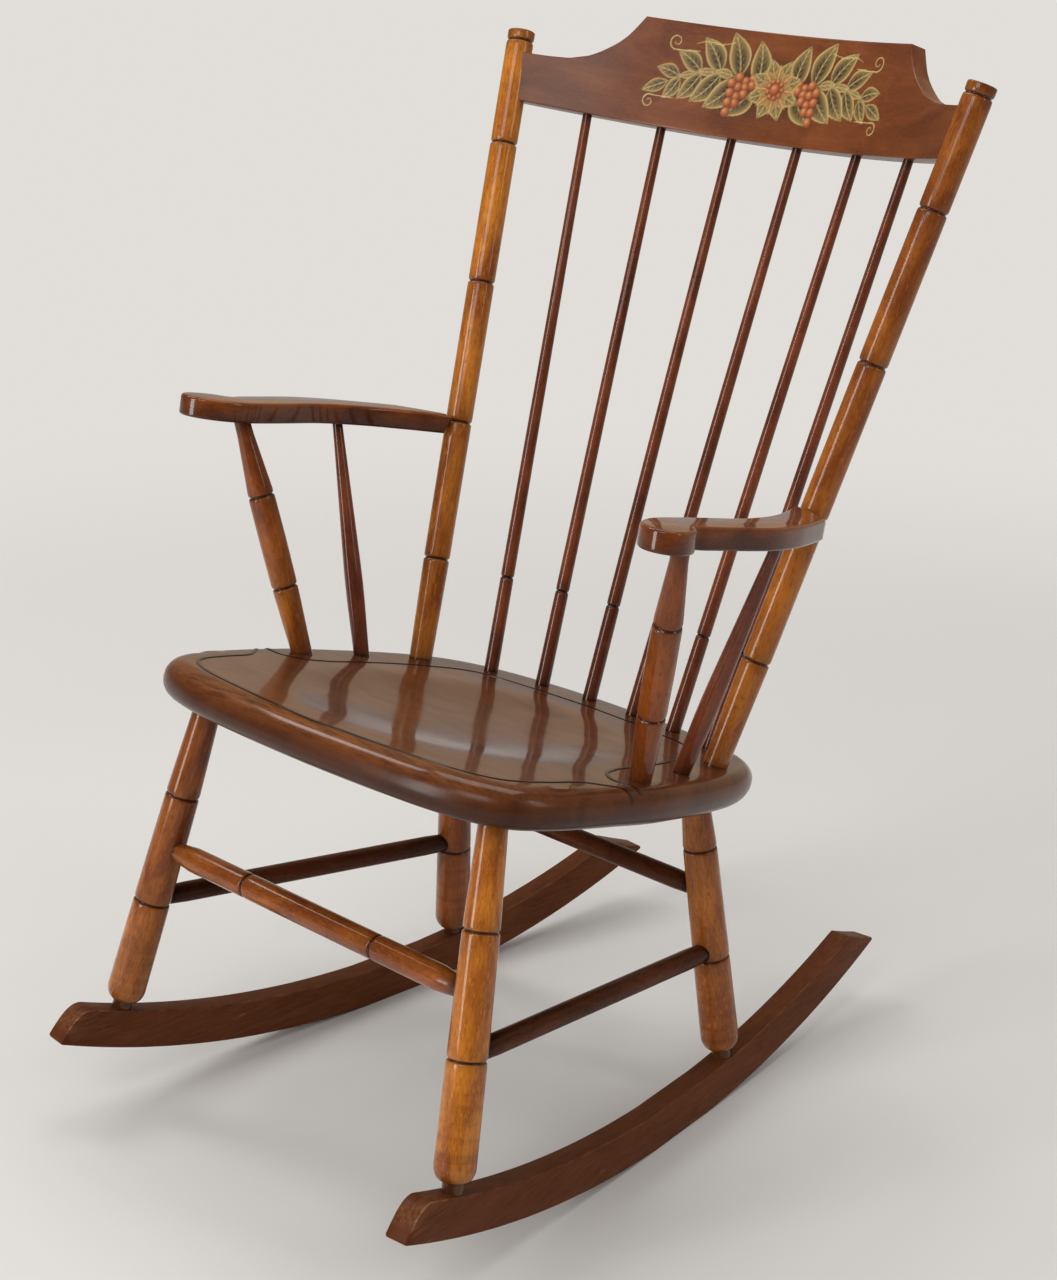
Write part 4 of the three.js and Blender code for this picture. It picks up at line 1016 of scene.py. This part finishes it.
# %% [markdown]
# ## Rockers
# A rocker is sawn from a board along an arc. Its nose is rounded over and its rear end is cut on a
# slope. A bent box would stretch the two ends, so the saw's way is followed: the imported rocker's
# heights are read at stations along it, and the nose gets its own rounding.

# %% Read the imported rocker
ROCKER_NOSE, ROCKER_TIP = 37, 3  # the nose is rounded over this length, down to this height
NOSE_STEPS, ROCKER_STEPS, LEAST_RUN = 15, 90, 1.0
STATION_GRID, STATION_SLACK = 0.5, 0.4
FULL_WIDTH_SHARE = 1.9  # of half the width: narrower stations lie on eased edges


def rocker_toe_in():
    """How far the rocker turns in towards the back, from its two long sides."""
    points = node_points("rocker_left")
    along = np.linalg.svd(points[:, :2] - points[:, :2].mean(0), full_matrices=False)[2][0]
    along = along if along[1] > 0 else -along
    return math.atan2(-along[0], along[1])


rocker_frame = Matrix.Translation(contact) @ Matrix.Rotation(rocker_toe_in(), 4, "Z")
points = in_frame(rocker_frame.inverted(), node_points("rocker_left"))
half = np.abs(points[:, 0]).max()
stations, low, high = [], [], []
for station in np.unique(np.round(points[:, 1] / (STATION_GRID * MM)) * STATION_GRID * MM):
    here = points[np.abs(points[:, 1] - station) < STATION_SLACK * MM]
    if np.ptp(here[:, 0]) > FULL_WIDTH_SHARE * half:
        stations.append(here[:, 1].mean())
        low.append(here[:, 2].min())
        high.append(here[:, 2].max())
stations, low, high = np.array(stations), np.array(low), np.array(high)
print("rocker:", len(stations), "stations,", round(2 * half / MM, 1), "mm wide")


def eased(xs, ys, wanted):
    """A smooth curve through stations, with no overshoot past them."""
    slopes = np.gradient(ys, xs)
    i = np.clip(np.searchsorted(xs, wanted) - 1, 0, len(xs) - 2)
    width = xs[i + 1] - xs[i]
    t = (wanted - xs[i]) / width
    return ((2 * t ** 3 - 3 * t ** 2 + 1) * ys[i] + (t ** 3 - 2 * t ** 2 + t) * width * slopes[i]
            + (3 * t ** 2 - 2 * t ** 3) * ys[i + 1] + (t ** 3 - t ** 2) * width * slopes[i + 1])


nose_turns = np.linspace(0, math.pi / 2, NOSE_STEPS)
nose_run = stations[0] + ROCKER_NOSE * MM * nose_turns / nose_turns[-1]
later = np.unique(np.concatenate([stations, np.linspace(stations[0], stations[-1], ROCKER_STEPS)]))
later = later[np.concatenate([[True], np.diff(later) > LEAST_RUN * MM])]
finer = np.concatenate([nose_run, later[later > nose_run[-1] + LEAST_RUN * MM]])
full_height = (high - low).max()
low_fine = np.maximum(eased(stations, low, finer), 0)
high_fine = np.interp(finer, stations, high)
high_fine = np.where((finer > nose_run[-1]) & (finer < 0), low_fine + full_height, high_fine)
tip = ROCKER_TIP * MM
high_fine[:NOSE_STEPS] = low_fine[:NOSE_STEPS] + tip + (full_height - tip) * np.sin(nose_turns)

# %% [markdown]
# ## Sawing the rocker
# A small face at the nose is drawn out to the tail, one extrusion for each station, and its upper and
# lower edges are set to the heights there. A bevel then eases the long edges, as sandpaper does.

# %% Saw the rockers
ROCKER_EASE = 1.8

start_fresh()
bpy.ops.mesh.primitive_plane_add(size=1)
rocker = bpy.context.object
rocker.name = "shown_rocker_left"
corners = [(-half, 0), (half, 0), (half, 1), (-half, 1)]
for vertex, (x, share) in zip((rocker.data.vertices[i] for i in (0, 1, 3, 2)), corners):
    vertex.co = (x, finer[0], low_fine[0] + share * (high_fine[0] - low_fine[0]))
bpy.ops.object.mode_set(mode="EDIT")
bpy.ops.mesh.select_mode(type="FACE")
bpy.ops.mesh.select_all(action="SELECT")
for step in range(1, len(finer)):
    run = finer[step] - finer[step - 1]
    bpy.ops.mesh.extrude_region_move(TRANSFORM_OT_translate={"value": (0, run, 0)})
    shape = bmesh.from_edit_mesh(rocker.data)
    heights = sorted({round(v.co.z, 7) for v in shape.verts if v.select})
    middle = sum(heights) / len(heights)
    for vertex in shape.verts:
        if vertex.select:
            vertex.co.z = high_fine[step] if vertex.co.z > middle else low_fine[step]
    bmesh.update_edit_mesh(rocker.data)
faces_out()
apply_modifier(rocker, "BEVEL", width=ROCKER_EASE * MM, segments=3, limit_method="ANGLE",
               angle_limit=math.radians(50))
bpy.ops.object.shade_smooth_by_angle(angle=math.radians(35))
print("rocker sawn,", len(finer), "stations")

# %% [markdown]
# ## Wear on the rockers
# Feet and floors have rubbed the rocker's edges pale, most of all at the nose. The wear stays on the
# eased edges, where the mesh has points to hold it.

# %% Wear the rockers
NOSE_WORN, TAIL_WORN, SQUARE_END = 70, 60, 4
EDGE_TOP, EDGE_NOSE, EDGE_TAIL, EDGE_LOW = 0.25, 0.9, 0.4, 0.35
EDGE_REACH = 1.05

points = mesh_points(rocker)
from_nose, from_tail = points[:, 1] - finer[0], finer[-1] - points[:, 1]
top_here = np.interp(points[:, 1], finer, high_fine)
low_here = np.interp(points[:, 1], finer, low_fine)
steepness = np.hypot(1, np.interp(points[:, 1], finer, np.gradient(high_fine, finer)))
at_side = ramp(np.abs(points[:, 0]), half - 1.7 * MM, half - 0.6 * MM)
near_top = np.clip(EDGE_REACH - (top_here - points[:, 2]) / (ROCKER_EASE * MM * steepness), 0, 1)
near_low = np.clip(EDGE_REACH - (points[:, 2] - low_here) / (ROCKER_EASE * MM), 0, 1)
off_ends = ramp(from_nose, 6 * MM, 12 * MM) * (from_tail > SQUARE_END * MM)
top_wear = (EDGE_TOP + EDGE_NOSE * ramp(from_nose, NOSE_WORN * MM, 0)
            + EDGE_TAIL * ramp(from_tail, TAIL_WORN * MM, 0))
wear = at_side * off_ends * (near_top * top_wear + near_low * EDGE_LOW)
set_attribute(rocker, "wear", np.clip(wear, 0, 1))
# painted shade: the rocker's top face is a little darker
stain(rocker, 0.18 * (points[:, 2] > top_here - 0.5 * MM), points[:, [0, 2, 1]])
other_rocker = settle_pair(rocker, "shown_rocker_right", rocker_frame)
finish_piece(rocker, ROCKER, "rocker_left")
finish_piece(other_rocker, ROCKER, "rocker_right")
print("rockers in place")

# %% [markdown]
# ## Crest rail
# The crest rail is a board bent to an arc, with its ends cut down in a curve where they meet the
# posts. A curve with a bevel could give the bend, but not the cut ends. So a fine grid is laid over
# the front face, extruded back by the thickness, eased, and only then bent round a circle. The grid
# has to be fine because the spray is painted on it point by point.

# %% Bend the crest rail
CREST_HEIGHT, CREST_RADIUS, CREST_THICKNESS, CREST_LEAN = 575, 480, 17.6, 7.5
CREST_TALL, CREST_END_TALL, CREST_SHOULDER = 108.7, 49, 166
CREST_LOWER_ARCH, CREST_UPPER_ARCH = 7.5, 11
CREST_CUT_SHARES = [(0, 0), (0.065, 0.21), (0.113, 0.35), (0.18, 0.49), (0.25, 0.6), (0.33, 0.71),
                    (0.41, 0.8), (0.58, 0.91), (0.77, 0.96), (1, 1)]
CREST_EASE = 1.6
PAINTED_HALF, PAINTED_STEP, PAINT_MARGIN = 158, 1.0, 2.5
OUTER_COLUMNS, OUTER_CROWDING, CREST_ROWS, ROW_MARGIN = 46, 1.4, 100, 2.2

crest_post = post_point("left", CREST_HEIGHT) / MM
middle_radius = CREST_RADIUS + CREST_THICKNESS / 2
end_angle = math.asin(crest_post[0] / middle_radius)
crest_run = CREST_RADIUS * end_angle
lean = math.radians(CREST_LEAN)
set_back = (middle_radius * (1 - math.cos(end_angle)) - CREST_THICKNESS / 2) * math.cos(lean)
crest_frame = (seat_frame @ Matrix.Translation(Vector((0, crest_post[1] + set_back, CREST_HEIGHT)) * MM)
               @ Matrix.Rotation(-lean, 4, "X"))


def crest_lower(along):
    return -CREST_LOWER_ARCH * (along / crest_run) ** 2


def crest_upper(along):
    out = np.abs(along)
    full = CREST_TALL - CREST_UPPER_ARCH * (along / crest_run) ** 2
    shoulder = CREST_TALL - CREST_UPPER_ARCH * (CREST_SHOULDER / crest_run) ** 2
    fall = np.interp(ramp(out, CREST_SHOULDER, crest_run), *np.array(CREST_CUT_SHARES).T)
    end = crest_lower(crest_run) + CREST_END_TALL
    return np.where(out <= CREST_SHOULDER, full, shoulder + (end - shoulder) * fall)


painted_run = np.arange(-PAINTED_HALF, PAINTED_HALF + PAINTED_STEP / 10, PAINTED_STEP)
outer_run = CREST_SHOULDER + (crest_run - CREST_SHOULDER) * np.linspace(0, 1, OUTER_COLUMNS) ** OUTER_CROWDING
margins = PAINTED_HALF + PAINT_MARGIN * np.array([1, 2])
columns = np.concatenate([-outer_run[::-1], -margins[::-1], painted_run, margins, outer_run])
edge_gap = ROW_MARGIN / CREST_TALL
rows = np.concatenate([[0], np.linspace(edge_gap, 1 - edge_gap, CREST_ROWS), [1]])
U, S = np.meshgrid(columns, rows)
V = crest_lower(U) + S * (crest_upper(U) - crest_lower(U))

start_fresh()
bpy.ops.mesh.primitive_grid_add(x_subdivisions=len(columns) - 1, y_subdivisions=len(rows) - 1, size=1)
crest = bpy.context.object
crest.name = "shown_crest_rail"
flat = np.stack([U.ravel(), np.zeros(U.size), V.ravel()], 1)
crest.data.vertices.foreach_set("co", flat.astype(np.float32).ravel())
bpy.ops.object.mode_set(mode="EDIT")
bpy.ops.mesh.select_all(action="SELECT")
bpy.ops.mesh.extrude_region_move(TRANSFORM_OT_translate={"value": (0, CREST_THICKNESS, 0)})
faces_out()
apply_modifier(crest, "BEVEL", width=CREST_EASE, segments=3, limit_method="ANGLE",
               angle_limit=math.radians(60))
crest_flat = mesh_points(crest)
bend = crest_flat[:, 0] / CREST_RADIUS
reach = CREST_RADIUS + crest_flat[:, 1]
bent = np.stack([reach * np.sin(bend), reach * np.cos(bend) - CREST_RADIUS, crest_flat[:, 2]], 1) * MM
crest.data.vertices.foreach_set("co", bent.astype(np.float32).ravel())
crest.data.update()
bpy.ops.object.shade_smooth_by_angle(angle=math.radians(35))
print("crest rail:", len(crest.data.polygons), "faces")

# %% [markdown]
# ## Brushes for the painted spray
# The crest rail carries a painted ornament in bronze-gold, with dark airbrushed shading and
# orange-brown fruit. A decorator lays such shapes one over another through cut stencils. Here each
# shape is a formula of the distance from its own middle line, laid over what is there already, and
# the result is stored as a colour on each point of the fine grid.

# %% Make the brushes
GOLD, PALE_GOLD, UMBER = (0.34, 0.235, 0.080), (0.60, 0.44, 0.175), (0.030, 0.020, 0.011)
BERRY, BERRY_LIGHT, RUST = (0.21, 0.045, 0.014), (0.50, 0.155, 0.055), (0.26, 0.085, 0.025)
SPRAY_MIDDLE = (0.0, 53.0)

on_front = crest_flat[:, 1] < CREST_THICKNESS / 2
spot = crest_flat[:, [0, 2]] - SPRAY_MIDDLE
paint = np.zeros((len(spot), 4))


def lay(colour, cover):
    """Lays a colour over the paint so far, where cover says how opaque it is."""
    cover = np.clip(cover, 0, 1) * on_front
    alpha = cover + paint[:, 3] * (1 - cover)
    share = np.divide(cover, alpha, out=np.zeros_like(cover), where=alpha > 0)[:, None]
    paint[:, :3] = paint[:, :3] * (1 - share) + np.asarray(colour) * share
    paint[:, 3] = alpha


def local(middle, angle):
    """The points' places along and across a line from a middle."""
    delta = spot - middle
    c, s = math.cos(angle), math.sin(angle)
    return delta[:, 0] * c + delta[:, 1] * s, delta[:, 1] * c - delta[:, 0] * s


def blend(a, b, share):
    share = np.clip(share, 0, 1)[:, None]
    return np.asarray(a) * (1 - share) + np.asarray(b) * share


def leaf(middle, angle, length, width, curl=0.0, tip=PALE_GOLD, root=UMBER, gloom=0.95):
    """Gold at its rim and tip, and airbrushed dark from its root along the middle."""
    along, across = local(middle, angle)
    share = along / length
    across = across - curl * length * share * (1 - share) * 2
    edge = width / 2 * np.sin(np.pi * np.clip(share, 0, 1) ** 0.85) * (share > 0) * (share < 1)
    inside = np.clip((edge - np.abs(across)) / 0.9 + 0.3, 0, 1) * (edge > 0.25)
    rim = np.clip(np.abs(across) / np.maximum(edge, 0.4), 0, 1)
    bright = 1 - gloom * (1 - rim ** 1.7) * np.clip(1.3 - 0.8 * share, 0, 1)
    shaded = blend(root, GOLD, (bright - 0.12) * 1.25)
    lay(shaded + (np.asarray(tip) - shaded) * np.clip(2.6 * bright - 1.75, 0, 1)[:, None], inside * 0.96)
    vein = np.exp(-((across / 0.6) ** 2)) * (share > 0.06) * (share < 0.9)
    lay(PALE_GOLD, vein * 0.7 * inside)
    ribs = np.exp(-(((np.abs(across) - 0.6 * ((along % 6.4) - 0.6)) / 0.5) ** 2))
    lay(PALE_GOLD, ribs * 0.32 * inside * (rim < 0.85) * (length > 20))


def berry(middle, radius):
    """A round fruit with a dark surround, a glow and a small highlight."""
    away = np.hypot(*(spot - middle).T)
    glow = np.hypot(*(spot - (middle[0] - 0.3 * radius, middle[1] + 0.35 * radius)).T)
    cover = np.clip((radius - away) / 0.8 + 0.4, 0, 1)
    lay(UMBER, np.clip(1.45 - away / radius, 0, 1) * 0.8 * (away < 1.45 * radius))
    lay(blend(BERRY_LIGHT, BERRY, (glow / (1.15 * radius)) ** 1.5), cover * 0.97)
    lay(PALE_GOLD, np.exp(-((glow / (0.26 * radius)) ** 2)) * 0.5)


def stroke(points, width, colour, cover, count=60):
    """A brushed line that thins towards both ends."""
    course = smooth_loop(np.array(points, float), count, closed=False)
    for (ax, ay), (bx, by), share in zip(course[:-1], course[1:], np.linspace(0, 1, count - 1)):
        along, across = local(((ax + bx) / 2, (ay + by) / 2), math.atan2(by - ay, bx - ax))
        reach = math.hypot(bx - ax, by - ay) / 2 + 0.3
        here = width / 2 * (0.45 + 0.55 * math.sin(math.pi * share))
        lay(colour, np.clip((here - np.abs(across)) / 0.7 + 0.5, 0, 1) * (np.abs(along) < reach) * cover)


def scroll(eye, start, size, turns, lead):
    """A thin scroll that winds in to its eye, and starts from a leading point."""
    course = [lead]
    for share in np.linspace(0, 1, 22):
        angle, radius = start + turns * math.tau * share, size * (1 - 0.8 * share)
        course.append((eye[0] + radius * math.cos(angle), eye[1] + radius * math.sin(angle)))
    stroke(course, 1.25, PALE_GOLD, 0.75, count=80)


print("brushes ready for", int(on_front.sum()), "points")

# %% [markdown]
# ## The painted spray
# This ornament is made up: a rosette in the middle, two sprays of broad laurel leaves that mirror each
# other, bunches of berries beside the rosette, and thin scrolls. What lies behind is painted first.
# Its sizes are in millimetres, from the spray's middle.

# %% Paint the spray
STEM_START, STEM_RUN, STEM_WAVE, STEM_TURN, STEM_FALL = 20, 106, 13, 2.6, 15
PAIR_START, PAIR_PITCH = 0.03, 0.21  # along the stem
LEAF_PAIRS = ((1.10, 47), (0.98, 49), (0.86, 44), (0.74, 37), (0.62, 29))  # lean and length, outwards
LEAF_SLIM, LEAF_CURL = 0.52, 0.13
BUNCH, BUNCH_ROWS, BERRY_PITCH, BERRY_RADIUS = (37, 4), (3, 4, 3, 2, 1), 9.4, 5.2
PETALS, SEEDS, SEED_RING = 8, 9, 8.4


def stem_point(side, t):
    """The spray's middle line, from the rosette outwards, and the way it points."""
    x, y = STEM_START + STEM_RUN * t, STEM_WAVE * math.sin(STEM_TURN * t) - STEM_FALL * t ** 2
    slope = (STEM_WAVE * STEM_TURN * math.cos(STEM_TURN * t) - 2 * STEM_FALL * t) / STEM_RUN
    return (side * x, y), math.atan2(slope, side)


def on_side(side, angle):
    """An angle on the right-hand spray, mirrored for the left-hand one."""
    return angle if side > 0 else math.pi - angle


lay(UMBER, 0.75 * np.exp(-((np.hypot(spot[:, 0] / 2.6, spot[:, 1]) / 31) ** 4)))
for side in (-1, 1):
    stroke([stem_point(side, t)[0] for t in np.linspace(0, 1, 9)], 2.0, GOLD, 0.85)
    leaf(*stem_point(side, 0.98), 31, 14)
    for step, (lean_out, length) in reversed(list(enumerate(LEAF_PAIRS))):
        (x, y), heading = stem_point(side, PAIR_START + step * PAIR_PITCH)
        for lift in (1, -1):
            leaf((x, y), heading + side * lift * lean_out, length, LEAF_SLIM * length,
                 curl=LEAF_CURL * side * lift)
    for step in (1, 2, 3):
        leaf(*stem_point(side, 0.10 + step * PAIR_PITCH), 25 - 2 * step, 11 - step, gloom=0.6)
    for row, count in enumerate(BUNCH_ROWS):
        for place_in_row in range(count):
            shift = (place_in_row - (count - 1) / 2) * BERRY_PITCH
            berry((side * (BUNCH[0] + 0.86 * shift + 3.6 * row), BUNCH[1] - 8.2 * row + 0.35 * abs(shift)),
                  BERRY_RADIUS)
    scroll((side * 126, 33), on_side(side, -1.9), 8.5, 1.3 * side, (side * 98, 27))
    scroll((side * 140, -31), on_side(side, 2.0), 7.5, -1.25 * side, (side * 114, -24))
    stroke([(side * 60, 41), (side * 76, 37), (side * 92, 38), (side * 104, 34)], 1.1, PALE_GOLD, 0.6)
for petal in range(PETALS):
    leaf((0, 0), math.tau * (petal + 0.5) / PETALS, 33, 20, gloom=0.85)
for petal in range(PETALS):
    leaf((0, 0), math.tau * petal / PETALS, 26, 14.5, root=RUST, tip=GOLD, gloom=0.9)
for seed in range(SEEDS):
    angle = math.tau * seed / SEEDS
    berry((SEED_RING * math.cos(angle), SEED_RING * math.sin(angle)), 3.0)
berry((0, 0), 6)
print("painted points:", int((paint[:, 3] > 0.1).sum()))

# %% [markdown]
# ## Finishing the crest rail
# The stain is darker towards the rail's ends and on its narrow edges, where it was brushed thick.

# %% Finish the crest rail
END_SHADE, EDGE_SHADE, EDGE_INSET = 0.2, 0.25, 2

set_attribute(crest, "paint", paint, "FLOAT_COLOR", "color")
in_edge = (crest_flat[:, 1] > EDGE_INSET) * (crest_flat[:, 1] < CREST_THICKNESS - EDGE_INSET)
crest_shade = END_SHADE * ramp(np.abs(crest_flat[:, 0]), 120, 260) + EDGE_SHADE * in_edge
stain(crest, crest_shade, crest_flat[:, [2, 1, 0]] * MM)
settle(crest, crest_frame)
finish_piece(crest, CREST, "crest_rail")
print("crest rail in place")

# %% [markdown]
# ## Screws, dowels and pins
# These small pieces are hidden, or nearly so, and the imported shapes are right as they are. They only
# get their finishes.

# %% Finish the small pieces
HIDDEN_SHADE = 0.2

for prefix, material in (("rocker_screw", STEEL), ("arm_dowel", ARM), ("crest_pin", DARK)):
    for name, piece in frame["nodes"].items():
        if name.startswith(prefix):
            points = mesh_points(piece)
            set_attribute(piece, "grain", points, "FLOAT_VECTOR", "vector")
            set_attribute(piece, "shade", np.full(len(points), HIDDEN_SHADE))
            piece.data.materials.clear()
            piece.data.materials.append(material)
            print(name, "finished")

# %% [markdown]
# ## Render settings
# Colours are shown plainly.

# %% Finish
bpy.context.scene.view_settings.view_transform = "Standard"
